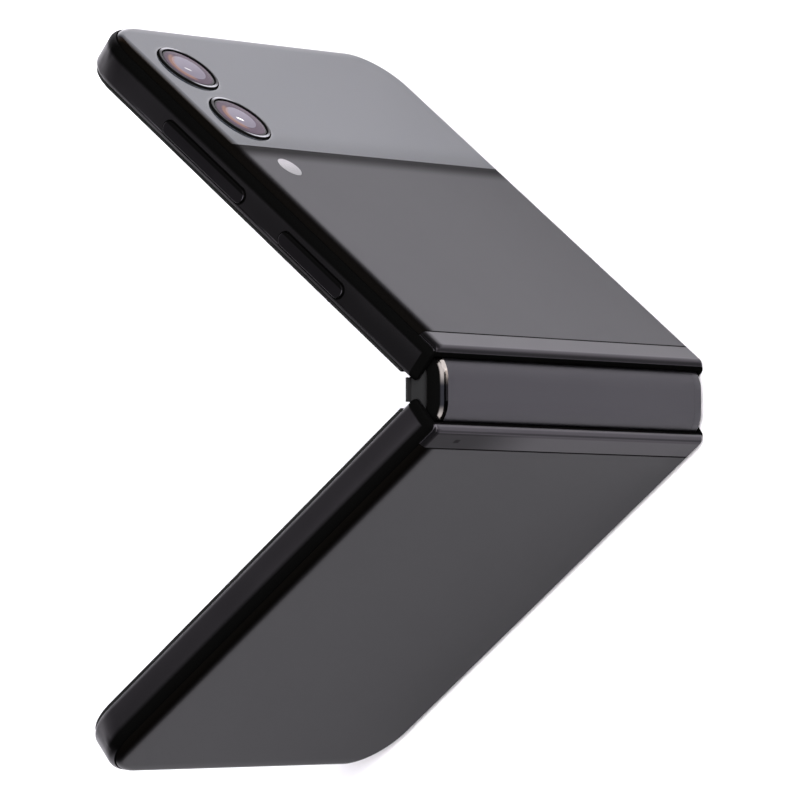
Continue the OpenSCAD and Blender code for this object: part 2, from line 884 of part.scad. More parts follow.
// Plate on the end of the spine that fills the gap between the two frames
module end_cap(m) {
  color(dark)
    spine_place()
      translate([0, 0, m * body_w])
        mirror([0, 0, m]) {
          translate([0, 0, nose_wall + run_gap])
            linear_extrude(spine_end - nose_wall - run_gap)
              difference() {
                spine_outline(spine_r - spine_round - cap_rim);
                translate([-2 * spine_r, -spine_top - 0.6])
                  square([4 * spine_r, 2 * spine_r]);
              }
          translate([-cap_neck, -spine_top - 0.7, nose_wall + run_gap])
            cube([2 * cap_neck, spine_top + 0.7, spine_end - nose_wall - run_gap]);
          translate([-cap_neck, -spine_top + 0.05, nose_wall + run_gap])
            cube([2 * cap_neck, spine_top - 0.05, display_inset - nose_wall - 2 * run_gap]);
        }
}
module end_cap_1() {
  end_cap(0);
}
module end_cap_2() {
  end_cap(1);
}

// Hinge mechanism: drawn for one module, counted in Z from its outer end

// A round hole or bar along the hinge
module z_rod(x, r, z0, z1) {
  translate([x, -gear_depth, z0])
    cylinder(r = r, h = z1 - z0);
}
// A ring round one hinge axis
module z_ring(x, r0, r1, z0, z1) {
  translate([x, 0, z0])
    difference() {
      cylinder(r = r1, h = z1 - z0, $fn = 96);
      translate([0, 0, -e])
        cylinder(r = r0, h = z1 - z0 + 2 * e, $fn = 96);
    }
}
// Bracket with curved grooves, slices for the slotted webs and bays for gears and springs
module hinge_bracket(k) {
  color(steel)
    spine_place()
      station(k)
        difference() {
          linear_extrude(module_len)
            intersection() {
              spine_outline(hinge_r);
              translate([-2 * spine_r, -2 * spine_r])
                square([4 * spine_r, 2 * spine_r - spine_top - 0.03]);
            }
          z_ring(-axis_off, rail_in - run_gap, rail_out + run_gap, z_rail_l, z_rail_l + rail_w + 2 * run_gap);
          z_ring(axis_off, rail_in - run_gap, rail_out + run_gap, z_rail_u, z_rail_u + rail_w + 2 * run_gap);
          translate([-axis_off, 0, z_web_l])
            cylinder(r = web_r + 0.16, h = web_t + 2 * run_gap, $fn = 96);
          translate([axis_off, 0, z_web_u])
            cylinder(r = web_r + 0.16, h = web_t + 2 * run_gap, $fn = 96);
          // bays for the cranks, which open into the slices of the webs
          z_rod(-arm_x, crank_r + 0.1, z_web_l + 0.1, z_gear);
          z_rod(arm_x, crank_r + 0.1, z_crank_u - 0.1, z_web_u + 0.1);
          // bay for the gears
          for (x = [-arm_x, -idler_x, idler_x, arm_x])
            z_rod(x, gear_tip + 0.1, z_gear - 0.05, z_crank_u - 0.05);
          // bays for the springs
          z_rod(arm_x, spring_r + 0.1, z_bay_u, z_bay_u + spring_bay);
          z_rod(-arm_x, spring_r + 0.1, z_bay_l, z_bay_l + spring_bay);
          // seats of the shafts and pins
          z_rod(arm_x, shaft_r + 0.01, z_bay_u - bay_wall, z_web_u - 0.1);
          z_rod(-arm_x, shaft_r + 0.01, z_web_l + web_t, module_len + e);
          for (x = [-idler_x, idler_x])
            z_rod(x, idler_pin_r + 0.01, idler_pin_0, z_gear + e);
        }
}
spring_r = 1.05;
idler_pin_0 = z_web_l + web_t + 2 * run_gap + 0.15;
module hinge_bracket_1() {
  hinge_bracket(1);
}
module hinge_bracket_2() {
  hinge_bracket(2);
}
// Wing of the upper side: plate, curved rail and slotted web, drawn in the frame of its half
module wing(z_rail, z_web) {
  difference() {
    union() {
      slab(axis_off + rail_in - 0.35, axis_off + pocket_r + 0.25, wing_t0, wing_t0 + wing_thin,
        z_rail, z_web + web_t);
      slab(axis_off + pocket_r + 0.2, wing_reach, wing_t0, wing_t0 + wing_thick - inner_gap / 2,
        z_rail, z_web + web_t);
      intersection() {
        z_ring(axis_off, rail_in, rail_out, z_rail, z_rail + rail_w);
        rail_sector(z_rail);
      }
      intersection() {
        translate([axis_off, 0, z_web])
          cylinder(r = web_r, h = web_t, $fn = 96);
        slab(-wing_reach, wing_reach, wing_t0, wing_reach, z_web - e, z_web + web_t + e);
      }
    }
    // slot that the crank pin runs in: an arc about the hinge axis moved by the crank's offset
    translate([axis_off - crank_s, -crank_t, z_web - e])
      rotate([0, 0, slot_a - 90 - slot_over])
        rotate_extrude(angle = 90 + 2 * slot_over, $fn = 96)
          translate([slot_r - crank_pin_r - slot_gap, 0])
            square([2 * (crank_pin_r + slot_gap), web_t + 2 * e]);
    for (z = screw_places(z_rail, z_web)) {
      depth_rod(screw_s, z, screw_r + 0.02, 0, wing_reach);
      depth_rod(screw_s, z, screw_head_r + 0.03, 0, wing_t0 + screw_head_h);
    }
  }
}
slot_over = 8;
screw_head_r = 0.8;
screw_head_h = 0.4;
// The part of the ring below the plate, as far as the rail goes past the fold line
module rail_sector(z0) {
  difference() {
    slab(-wing_reach, wing_reach, wing_t0, wing_reach, z0 - e, z0 + rail_w + e);
    translate([axis_off, 0, z0 - 2 * e])
      rotate([0, 0, 180])
        cube([wing_reach, wing_reach * tan(30), rail_w + 4 * e]);
  }
}
module upper_wing(k) {
  color(steel)
    upper_place()
      station(k)
        wing(z_rail_u + run_gap, z_web_u + run_gap);
}
module lower_wing(k) {
  color(steel)
    lower_place()
      station(k)
        wing(z_rail_l + run_gap, z_web_l + run_gap);
}
module upper_wing_1() {
  upper_wing(1);
}
module upper_wing_2() {
  upper_wing(2);
}
module lower_wing_1() {
  lower_wing(1);
}
module lower_wing_2() {
  lower_wing(2);
}
// Small screws with a flat head
module screws(z_rail, z_web) {
  for (k = [1, 2])
    station(k)
      for (z = screw_places(z_rail, z_web)) {
        depth_rod(screw_s, z, screw_head_r, wing_t0, wing_t0 + screw_head_h);
        depth_rod(screw_s, z, screw_r, wing_t0 + screw_head_h - 0.05, screw_end - 0.1);
      }
}
module upper_wing_screws() {
  color("silver")
    upper_place()
      screws(z_rail_u + run_gap, z_web_u + run_gap);
}
module lower_wing_screws() {
  color("silver")
    lower_place()
      screws(z_rail_l + run_gap, z_web_l + run_gap);
}
module arm_shafts() {
  color("silver")
    spine_place()
      for (k = [1, 2])
        station(k) {
          z_rod(arm_x, shaft_r, z_bay_u - bay_wall + 0.05, z_crank_u + crank_w - 0.1);
          z_rod(-arm_x, shaft_r, z_crank_l + 0.1, module_len);
        }
}
module idler_pins() {
  color("silver")
    spine_place()
      for (k = [1, 2])
        station(k)
          for (x = [-idler_x, idler_x])
            z_rod(x, idler_pin_r, idler_pin_0 + 0.05, z_gear + gear_w);
}
// Dished springs stacked on the shafts
disc_n = 8;
disc_h = (spring_bay - 1.6) / disc_n;
module disc_springs() {
  color("lightgray")
    spine_place()
      for (k = [1, 2])
        station(k) {
          spring_stack(arm_x, z_bay_u + 0.8);
          spring_stack(-arm_x, z_bay_l + 0.8);
        }
}
module spring_stack(x, z0) {
  translate([x, -gear_depth, z0])
    rotate_extrude()
      for (i = [0 : disc_n - 1])
        translate([0, i * disc_h])
          polygon(disc_points(i % 2));
}
// Section of one dished spring; every second one is turned over
function disc_points(flip) = [
  [shaft_r + 0.03, flip * disc_h * 0.45],
  [spring_r, (1 - flip) * disc_h * 0.45],
  [spring_r, disc_h - flip * disc_h * 0.45],
  [shaft_r + 0.03, disc_h - (1 - flip) * disc_h * 0.45]];
// Thick washers at both ends of each stack
module spring_spacers() {
  color("silver")
    spine_place()
      for (k = [1, 2])
        station(k)
          for (p = [[arm_x, z_bay_u], [-arm_x, z_bay_l]])
            for (z = [p[1], p[1] + spring_bay - 0.8])
              difference() {
                z_rod(p[0], spring_r, z + 0.02, z + 0.78);
                z_rod(p[0], shaft_r + 0.03, z - e, z + e + 1);
              }
}

// Gears

// Outline of one tooth, with straight sloping flanks, on its own centre line
tooth_a = 360 / gear_teeth;
function tooth(a) = [
  for (p = [[gear_root, -0.3], [gear_r, -0.205], [gear_tip, -0.09], [gear_tip, 0.09], [gear_r, 0.205],
    [gear_root, 0.3]])
    [p[0] * cos(a + p[1] * tooth_a), p[0] * sin(a + p[1] * tooth_a)]];
function gear_outline(phase) = [
  for (i = [0 : gear_teeth - 1])
    for (q = tooth(phase + i * tooth_a))
      q];
module gear(phase, bore) {
  difference() {
    linear_extrude(gear_w)
      polygon(gear_outline(phase));
    translate([0, 0, -e])
      cylinder(r = bore, h = gear_w + 2 * e);
  }
}
// Arm of the upper side: gear, crank disc and crank pin
module upper_arm(k) {
  color("lightsteelblue")
    spine_place()
      station(k)
        difference() {
          union() {
            translate([arm_x, -gear_depth, z_gear])
              gear(tooth_a / 2, shaft_r + shaft_gap);
            z_rod(arm_x, gear_root, z_gear, z_crank_u + crank_w);
            z_rod(arm_x, crank_r, z_crank_u, z_crank_u + crank_w);
            crank_pin(1, z_crank_u + 0.1, z_web_u + run_gap + web_t);
          }
          z_rod(arm_x, shaft_r + shaft_gap, z_gear - e, z_crank_u + crank_w + e);
        }
}
module lower_arm(k) {
  color("lightsteelblue")
    spine_place()
      station(k)
        difference() {
          union() {
            translate([-arm_x, -gear_depth, z_gear])
              gear(0, shaft_r + shaft_gap);
            z_rod(-arm_x, gear_root, z_crank_l, z_gear + gear_w);
            z_rod(-arm_x, crank_r, z_crank_l, z_crank_l + crank_w);
            mirror([1, 0, 0])
              crank_pin(1, z_web_l + run_gap, z_crank_l + crank_w - 0.1);
          }
          z_rod(-arm_x, shaft_r + shaft_gap, z_crank_l - e, z_gear + gear_w + e);
        }
}
// Crank pin of the upper side; its offset turns with the half
module crank_pin(m, z0, z1) {
  translate([arm_x, -gear_depth, z0])
    rotate([0, 0, half_lean])
      translate([-crank_s, -crank_t, 0])
        cylinder(r = crank_pin_r, h = z1 - z0);
}
module upper_arm_1() {
  upper_arm(1);
}
module upper_arm_2() {
  upper_arm(2);
}
module lower_arm_1() {
  lower_arm(1);
}
module lower_arm_2() {
  lower_arm(2);
}
module idlers(x, phase) {
  color("lightsteelblue")
    spine_place()
      for (k = [1, 2])
        station(k)
          translate([x, -gear_depth, z_gear])
            gear(phase, idler_pin_r + shaft_gap);
}
module upper_idlers() {
  idlers(idler_x, 0);
}
module lower_idlers() {
  idlers(-idler_x, tooth_a / 2);
}

lower_frame();
lower_back_glass();
lower_bezel();
lower_display();
lower_battery();
charging_coil();
sub_board();
usb_socket();
bottom_speaker();
vibration_motor();
lower_wing_1();
lower_wing_2();
lower_wing_screws();
upper_frame();
upper_back_glass();
upper_bezel();
upper_display();
upper_battery();
main_board();
board_shield();
cover_display();
lens_ring_1();
lens_ring_2();
lens_glass_1();
lens_glass_2();
camera_module_1();
camera_module_2();
flash_window();
front_camera();
earpiece();
key_switches();
upper_wing_1();
upper_wing_2();
upper_wing_screws();
spine_cover();
end_cap_1();
end_cap_2();
hinge_bracket_1();
hinge_bracket_2();
arm_shafts();
idler_pins();
disc_springs();
spring_spacers();
fold_strip_lower();
fold_strip_upper();
lower_arm_1();
lower_arm_2();
upper_arm_1();
upper_arm_2();
lower_idlers();
upper_idlers();
volume_key();
side_key();
card_tray();
card();
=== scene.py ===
# %% [markdown]
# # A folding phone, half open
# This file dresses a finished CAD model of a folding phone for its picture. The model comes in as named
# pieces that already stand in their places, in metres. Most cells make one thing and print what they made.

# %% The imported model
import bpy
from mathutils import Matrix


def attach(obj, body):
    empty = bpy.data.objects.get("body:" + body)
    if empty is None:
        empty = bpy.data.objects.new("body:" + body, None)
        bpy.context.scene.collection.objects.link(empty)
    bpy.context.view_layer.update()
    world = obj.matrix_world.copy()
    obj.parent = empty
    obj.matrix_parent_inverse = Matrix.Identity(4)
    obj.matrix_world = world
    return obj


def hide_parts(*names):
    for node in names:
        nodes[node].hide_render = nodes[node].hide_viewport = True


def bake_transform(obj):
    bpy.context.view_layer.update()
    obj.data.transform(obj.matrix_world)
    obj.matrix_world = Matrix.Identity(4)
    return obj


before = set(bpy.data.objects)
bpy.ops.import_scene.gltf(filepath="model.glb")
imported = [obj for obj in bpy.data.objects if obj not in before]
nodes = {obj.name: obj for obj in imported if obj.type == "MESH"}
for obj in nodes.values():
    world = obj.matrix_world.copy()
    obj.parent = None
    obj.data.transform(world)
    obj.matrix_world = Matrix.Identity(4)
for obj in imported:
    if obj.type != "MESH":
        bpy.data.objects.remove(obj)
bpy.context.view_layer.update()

# %% [markdown]
# ## Places on a leaning half
# Both halves lean up from the hinge, so places on them are awkward to write in the room's own directions.
# It is easier to say how far a point is from the fold (s), how deep it lies behind the display's front (t)
# and how far across the width it is (z), and to let one function turn that into a point in the room.
# The other way would be to model each half flat and turn the object, but finished pieces keep their
# objects at the origin, so the turning is done on the points.

# %% Sizes and places
import bmesh
import bpy
import math
from mathutils import Matrix, Vector

MM = 0.001
# Length and width of a half, the radius of its corners, how far it leans, and its hinge axis's distance from
# the fold. REST_Y is how far the hinge axes lie from the room's middle. All but the lean are in millimetres.
HALF, WIDTH = 83.0, 72.2
CORNER, LEAN, AXIS = 9.5, math.radians(51.35), 1.65
REST_Y = 28.76018785215765
COS, SIN = math.cos(LEAN), math.sin(LEAN)
# Middles of the lenses and the flash. The keys have their start and length, and one width and depth for both.
LENS_1, LENS_2, LENS_Z = 71.07, 58.13, 60.55
FLASH_S, FLASH_Z = 45.72, 60.7
VOLUME_KEY, SIDE_KEY = (42.15, 19.3), (18.5, 14.8)
KEY_WIDTH, KEY_DEPTH = 2.35, 2.57


def place(side, s, t, z):
    """A point of the upper (1) or lower (-1) half, from millimetres on the half to metres in the room."""
    x = AXIS + (s - AXIS) * COS + t * SIN
    y = (s - AXIS) * SIN - t * COS - REST_Y
    return Vector((side * x, y, z)) * MM


def on_half(side, point):
    """The way back: s, t and z in millimetres of a point in the room."""
    dx, dy = side * point.x / MM - AXIS, point.y / MM + REST_Y
    return AXIS + dx * COS + dy * SIN, dx * SIN - dy * COS, point.z / MM


print("free end of the upper half:", [round(v, 4) for v in place(1, HALF, 0, WIDTH / 2)])

# %% [markdown]
# ## The camera
# The picture was taken with a long lens from above and behind, rolled so that the hinge runs across it.
# The camera's three directions are written down as they were measured, which is simpler than a chain of
# turns and can't drift. A long lens keeps the two halves nearly parallel, as in the photograph.

# %% Camera
FOCAL_PIXELS, PICTURE_PIXELS, SENSOR = 6345, 800, 36.0
STAND_X, STAND_Y, STAND_Z = -32.1646, -580.0601, 821.4488
across = Vector((0.0007755, -0.8050002, -0.5932740))
upward = Vector((0.9994583, -0.0188966, 0.0269469))
backward = Vector((-0.0329031, -0.5929735, 0.8045495))
camera = bpy.data.objects.new("view", bpy.data.cameras.new("view"))
camera.matrix_world = Matrix((
    (across.x, upward.x, backward.x, STAND_X * MM),
    (across.y, upward.y, backward.y, STAND_Y * MM),
    (across.z, upward.z, backward.z, STAND_Z * MM),
    (0, 0, 0, 1),
))
camera.data.sensor_width = SENSOR
camera.data.lens = FOCAL_PIXELS / PICTURE_PIXELS * SENSOR
camera.data.clip_start, camera.data.clip_end = 0.01, 20
bpy.context.scene.collection.objects.link(camera)
bpy.context.scene.camera = camera
bpy.context.scene.view_settings.view_transform = "Standard"
print("lens", round(camera.data.lens, 1), "mm")

# %% [markdown]
# ## Finishes as formulas
# A finish is a small network of nodes. Written by hand that takes many lines, so one class holds a finish
# and another wraps a single socket of it. The wrapped socket knows Python's operators: a + b adds a Math
# node and returns its result. Colours never go through Math nodes, because those would turn them grey.


# %% A wrapped socket and a finish
class Wire:
    """One socket of a finish. Python's operators on it add Math nodes."""

    def __init__(self, finish, socket):
        self.finish, self.socket = finish, socket

    def __add__(self, b):
        return self.finish.maths("ADD", self, b)

    def __radd__(self, a):
        return self.finish.maths("ADD", a, self)

    def __sub__(self, b):
        return self.finish.maths("SUBTRACT", self, b)

    def __rsub__(self, a):
        return self.finish.maths("SUBTRACT", a, self)

    def __mul__(self, b):
        return self.finish.maths("MULTIPLY", self, b)

    def __rmul__(self, a):
        return self.finish.maths("MULTIPLY", a, self)

    def __pow__(self, b):
        return self.finish.maths("POWER", self, b)

    def __rpow__(self, a):
        return self.finish.maths("POWER", a, self)

    def __neg__(self):
        return self.finish.maths("MULTIPLY", self, -1.0)

    def __abs__(self):
        return self.finish.maths("ABSOLUTE", self)


class Finish:
    """A material and the nodes behind it."""

    def __init__(self, name):
        self.material = bpy.data.materials.new(name)
        self.material.use_nodes = True
        self.tree = self.material.node_tree
        self.tree.nodes.clear()

    def feed(self, socket, value):
        """Links a wire to a socket, or sets the socket to a plain value."""
        if isinstance(value, Wire):
            self.tree.links.new(value.socket, socket)
        elif socket.type == "RGBA" and len(value) == 3:
            socket.default_value = (*value, 1.0)
        else:
            socket.default_value = value

    def add(self, kind, settings=None, sockets=None, out=0):
        """Any other node: its type, its settings, which are made first, and its sockets' values or links."""
        node = self.tree.nodes.new(kind)
        for key, value in (settings or {}).items():
            setattr(node, key, value)
        for key, value in (sockets or {}).items():
            self.feed(node.inputs[key], value)
        return node if out is None else Wire(self, node.outputs[out])

    def maths(self, operation, *values):
        """The result of one Math node."""
        return self.add("ShaderNodeMath", {"operation": operation}, dict(enumerate(values)))

    def most(self, *masks):
        """The largest of several masks."""
        top = masks[0]
        for mask in masks[1:]:
            top = self.maths("MAXIMUM", top, mask)
        return top

    def distance(self, a, b):
        """The length of the slope over two legs."""
        return self.maths("SQRT", a * a + b * b)

    def over(self, value, start):
        """How far a value is above start, and 0 below it."""
        return self.maths("MAXIMUM", value - start, 0.0)

    def mix(self, factor, a, b):
        """A colour between two colours."""
        return self.add("ShaderNodeMix", {"data_type": "RGBA"}, {0: factor, 6: a, 7: b}, 2)

    def step(self, value, low, high):
        """0 below low, 1 above high and a smooth rise between them."""
        return self.add("ShaderNodeMapRange", {"interpolation_type": "SMOOTHSTEP"},
                        {"Value": value, "From Min": low, "From Max": high})

    def line(self, value, middle, half_width, soft):
        """1 within half_width of middle, fading to 0 over the soft distance."""
        return 1 - self.step(abs(value - middle), half_width, half_width + soft)

    def here(self):
        """The place that is being coloured, in metres in the room."""
        return self.add("ShaderNodeTexCoord", out="Object")

    def parts(self, vector):
        """The three numbers of a vector."""
        split = self.add("ShaderNodeSeparateXYZ", sockets={0: vector})
        node = split.socket.node
        return [Wire(self, node.outputs[i]) for i in range(3)]

    def noise(self, scale, detail=2.0, roughness=0.5):
        """Soft random spots between 0 and 1. A larger scale makes smaller spots."""
        return self.add("ShaderNodeTexNoise", None, {
            "Vector": self.here(), "Scale": scale, "Detail": detail, "Roughness": roughness})

    def bump(self, height, distance, strength=1.0, normal=None):
        """A tilt of the surface that follows a height, on top of another tilt where one is given."""
        sockets = {"Height": height, "Distance": distance, "Strength": strength}
        if normal:
            sockets["Normal"] = normal
        return self.add("ShaderNodeBump", None, sockets)

    def shader(self, **values):
        """A Principled shader. Words in a socket's name are joined by an underscore."""
        return self.add("ShaderNodeBsdfPrincipled", None,
                        {key.replace("_", " "): value for key, value in values.items()})

    def dead(self, colour=(0.0012, 0.0012, 0.0012), rough=0.6):
        """A shader that mirrors nothing: painted shade for what lies in its own shade, and in a pale colour a
        painted highlight.
        """
        return self.shader(Base_Color=colour, Roughness=rough, Specular_IOR_Level=0.0)

    def between(self, factor, a, b):
        """A shader between two shaders."""
        return self.add("ShaderNodeMixShader", None, {0: factor, 1: a, 2: b})

    def done(self, shader):
        """Ends the network and gives its material."""
        self.add("ShaderNodeOutputMaterial", None, {"Surface": shader}, None)
        return self.material

    def on_half(self, side):
        """s, t and z in millimetres on the upper (1) or lower (-1) half."""
        turned = self.add("ShaderNodeMapping", None, {
            "Vector": self.here(),
            "Location": (AXIS - AXIS * COS + REST_Y * SIN, AXIS * SIN + REST_Y * COS, 0),
            "Rotation": (0, 0, -LEAN), "Scale": (side * 1000, 1000, 1000)})
        s, back, z = self.parts(turned)
        return s, -back, z

    def inset(self, s, z):
        """Distance in from the outline of a half, which has round corners at its free end."""
        qs = s - (HALF - CORNER)
        qz = abs(z - WIDTH / 2) - (WIDTH / 2 - CORNER)
        inner = self.maths("MINIMUM", self.most(qs, qz), 0.0)
        return CORNER - self.distance(self.over(qs, 0.0), self.over(qz, 0.0)) - inner


print("finish classes ready")

# %% [markdown]
# ## The floor
# The photograph was lit softly on white. A bright, pale floor gives the backs of the phone something pale
# to reflect, because they stand upright and the camera looks down at them.

# %% Floor
bpy.ops.mesh.primitive_plane_add(size=8.0, location=(0, 0, -0.00002))
floor = bpy.context.object
floor.name = "floor"
paper = Finish("pale_floor")
fibre = paper.noise(400, 3)
floor.data.materials.append(paper.done(paper.shader(
    Base_Color=paper.mix(fibre, (0.855, 0.84, 0.9), (0.885, 0.87, 0.92)), Roughness=0.7, Specular_IOR_Level=0.2)))
print("floor", floor.dimensions.x, "m wide")

# %% [markdown]
# ## Soft lights
# A wide soft light overhead brightens the floor everywhere, and a second one, from the side of the half with
# the cameras, makes the floor there brighter still: that half mirrors more light than the other one, as in
# the photograph. A light in front shines on the polished end of the spine, and one stands behind the phone.
# The room itself stays dark except behind the phone, so that the long sides of the frame stay nearly black.


# %% Soft lights
def softbox(name, stand, aim, width, height, power, colour=(1, 1, 1)):
    """A rectangular soft light that faces a point."""
    light = bpy.data.lights.new(name, "AREA")
    light.shape, light.size, light.size_y = "RECTANGLE", width, height
    light.energy, light.color = power, colour
    box = bpy.data.objects.new(name, light)
    box.location = stand
    box.rotation_euler = (Vector(aim) - Vector(stand)).to_track_quat("-Z", "Y").to_euler()
    box.visible_camera = False
    bpy.context.scene.collection.objects.link(box)


softbox("top_light", (0.0, -0.15, 0.62), (0, 0, 0.0), 0.62, 0.42, 7.2)
softbox("side_light", (0.36, -0.36, 0.42), (0, 0, 0.0), 0.4, 0.34, 4.6)
softbox("front_light", (0.22, -0.9, 0.34), (0, 0, 0.05), 0.45, 0.55, 7, (1.0, 0.94, 0.88))
softbox("back_light", (0.0, 1.5, 0.35), (0, 0, 0.05), 2.0, 0.5, 5)
room = bpy.data.worlds.new("room")
room.use_nodes = True
bpy.context.scene.world = room
sky = room.node_tree
where = sky.nodes.new("ShaderNodeTexCoord")
split = sky.nodes.new("ShaderNodeSeparateXYZ")
rise = sky.nodes.new("ShaderNodeMapRange")
rise.interpolation_type = "SMOOTHSTEP"
rise.inputs["From Min"].default_value, rise.inputs["From Max"].default_value = 0.2, 1.0
rise.inputs["To Min"].default_value, rise.inputs["To Max"].default_value = 0.02, 0.7
sky.links.new(where.outputs["Generated"], split.inputs[0])
sky.links.new(split.outputs["Y"], rise.inputs["Value"])
sky.links.new(rise.outputs[0], sky.nodes["Background"].inputs["Strength"])
sky.nodes["Background"].inputs["Color"].default_value = (1.0, 0.97, 1.0, 1.0)

# %% [markdown]
# ## The frame's metal
# Everything in the picture is nearly black, so the finishes differ mostly in how they mirror. The frame is
# aluminium, blasted and anodised. A dark metal shader suits it, because its colour is all reflection. A metal
# always mirrors at a glancing angle, so shade is painted: what lies in shade is mixed towards a shader that
# mirrors nothing.
# The sides of the frame are slightly crowned. A height that falls off on both sides of the crown, given to
# a Bump node in true millimetres, bends the mirror image there without any change to the exact CAD faces.


# %% Satin frame metal
def satin_metal(name, side, tone, rough):
    """Dark anodised metal with the fine grain of blasting, with painted shade at the hinge end, along the back
    edges, in the seam and round the keys.
    """
    f = Finish(name)
    s, t, z = f.on_half(side)
    upper = side > 0
    cloud = f.noise(70, 2)
    grain = f.noise(9000, 2, 0.6)
    inset = f.inset(s, z)
    # Each mask is 1 on one part of the frame. Their limits are millimetres on the half. The masks gathered in
    # one list are painted shade: there the metal is mixed towards a shader that mirrors nothing.
    across = abs(z - WIDTH / 2)
    side_wall = f.step(across, 34.9, 35.6)
    back_face = f.step(t, 6.2, 6.6)
    strip = 1 - f.step(s, 4.0, 4.05)
    nose = (1 - f.step(s, 0.8, 1.1)) * f.step(t, 6.0, 6.2)
    under = 6.15 if upper else 5.75
    end_face = (1 - f.step(s, 0.4, 0.6)) * (1 - f.step(t, under - 0.15, under + 0.1)) * f.step(t, 1.6, 2.2)
    free_end = f.step(s, 76.5, 80.5) * (0.2 if upper else 0.8)
    back_edge = f.step(t, 4.0, 5.0) * (1 - f.step(inset, 0.7, 0.9)) * (1 - free_end)
    strip_end = back_face * f.step(z, 68.6, 71.2) * strip * (0.9 if upper else 0.6)
    corner = f.step(t, 5.6, 6.2) * (1 - f.step(s, 0.5, 0.9))
    wall_end = (1 - f.step(s, 1.5, 1.9)) * f.step(across, 35.2, 35.5) * (1 - corner * 0.7)
    # Painted shade in the seam between frame and glass.
    painted_seam_shade = f.step(inset, 0.45, 0.6) * f.step(t, 6.0, 6.1) * f.step(s, 4.0, 4.02)
    painted_shade = [end_face, back_edge, strip_end, wall_end, painted_seam_shade]
    if upper:
        # Painted shade in the gap round each key.
        for start, length in (VOLUME_KEY, SIDE_KEY):
            beyond = f.over(abs(s - start - length / 2), length / 2 - KEY_WIDTH / 2)
            far = f.distance(beyond, t - KEY_DEPTH) - KEY_WIDTH / 2
            painted_shade.append((1 - f.step(far, 0.2, 0.34)) * side_wall)
        # Painted shade on the side wall, heavier towards the hinge, on the back face past the nose and on the nose.
        painted_shade.append((0.68 - 0.38 * f.step(s, 18, 68)) * side_wall)
        painted_shade.append(f.step(s, 1.0, 1.2) * back_face * 0.2)
        painted_shade.append(nose * (0.3 + 0.5 * (1 - f.step(s, 0.25, 0.65))))
    else:
        # Painted shade: a dark crease line at the rim, the nose, the flat strip at the hinge and a dark patch on it.
        painted_shade.append(f.line(s, 0.52, 0.08, 0.16) * f.step(t, 6.2, 6.5) * 0.6)
        painted_shade.append(nose * 0.25)
        painted_shade.append(f.step(s, 0.6, 0.8) * strip * back_face * (0.5 + 0.29 * f.step(z, 42, 62)))
        painted_shade.append(f.line(z, 64.4, 0.3, 2.4) * f.line(s, 2.4, 0.2, 1.2) * back_face * 0.9)
    crown = f.bump((t - 2.2) ** 2 * -0.048 * side_wall, MM)
    metal = f.shader(Base_Color=f.mix(cloud, [v * 0.94 for v in tone], [v * 1.06 for v in tone]), Metallic=1.0,
                     Roughness=rough + 0.05 * (cloud - 0.5), Normal=f.bump(grain, 0.000004, 0.25, crown))
    return f.done(f.between(f.most(*painted_shade), metal, f.dead()))


FRAME_TONE = (0.040, 0.037, 0.042)
frame_upper = satin_metal("satin_frame_upper", 1, FRAME_TONE, 0.33)
frame_lower = satin_metal("satin_frame_lower", -1, FRAME_TONE, 0.33)
print("frame finishes made")

# %% [markdown]
# ## The spine's metal
# The spine is a pressed cover of the same metal. Its end that shows is polished where it turns down, and
# mirrors the light in front of the phone. A sloping height bends that part further over than the CAD has it.
# A painted highlight brightens the polish towards both sides of the spine, painted shade turns its very end
# black, and the side towards the lower half is painted in shade.


# %% Spine metal
def spine_finish():
    """Satin along the spine, polished where it turns down at the end that shows, with painted shade and a painted
    highlight.
    """
    f = Finish("satin_spine")
    x, y, z = f.parts(f.here())
    x, z = x * 1000, z * 1000
    cloud = f.noise(70, 2)
    grain = f.noise(9000, 2, 0.6)
    colour = f.mix(cloud, (0.0245, 0.0235, 0.027), (0.0275, 0.026, 0.030))
    # Painted shade: the side of the spine towards the lower half is darker.
    colour = f.mix((1 - f.step(x, -5.4, -2.0)) * 0.4, colour, (0.012, 0.0115, 0.0125))
    satin = f.shader(Base_Color=colour, Metallic=1.0, Roughness=0.34 + 0.04 * (cloud - 0.5),
                     Normal=f.bump(grain, 0.000004, 0.25))
    # Painted highlight: the polish is lighter towards both sides of the spine than in its middle.
    painted_highlight = f.most(f.step(x, 0.4, 2.6), 0.9 * (1 - f.step(x, -3.8, -2.2)))
    gloss = f.shader(Base_Color=f.mix(painted_highlight, (0.004, 0.004, 0.005), (0.062, 0.056, 0.054)), Metallic=1.0,
                     Roughness=0.14, Normal=f.bump(f.over(z, 68.3) * -0.95, MM))
    # Painted shade: the very end of the polish is mixed to a shader that mirrors nothing.
    ends = f.between(f.step(abs(z - WIDTH / 2), 33.7, 33.95), gloss, f.dead())
    return f.done(f.between(f.step(z, 68.3, 68.42), satin, ends))


spine_metal = spine_finish()
print("spine finish made")
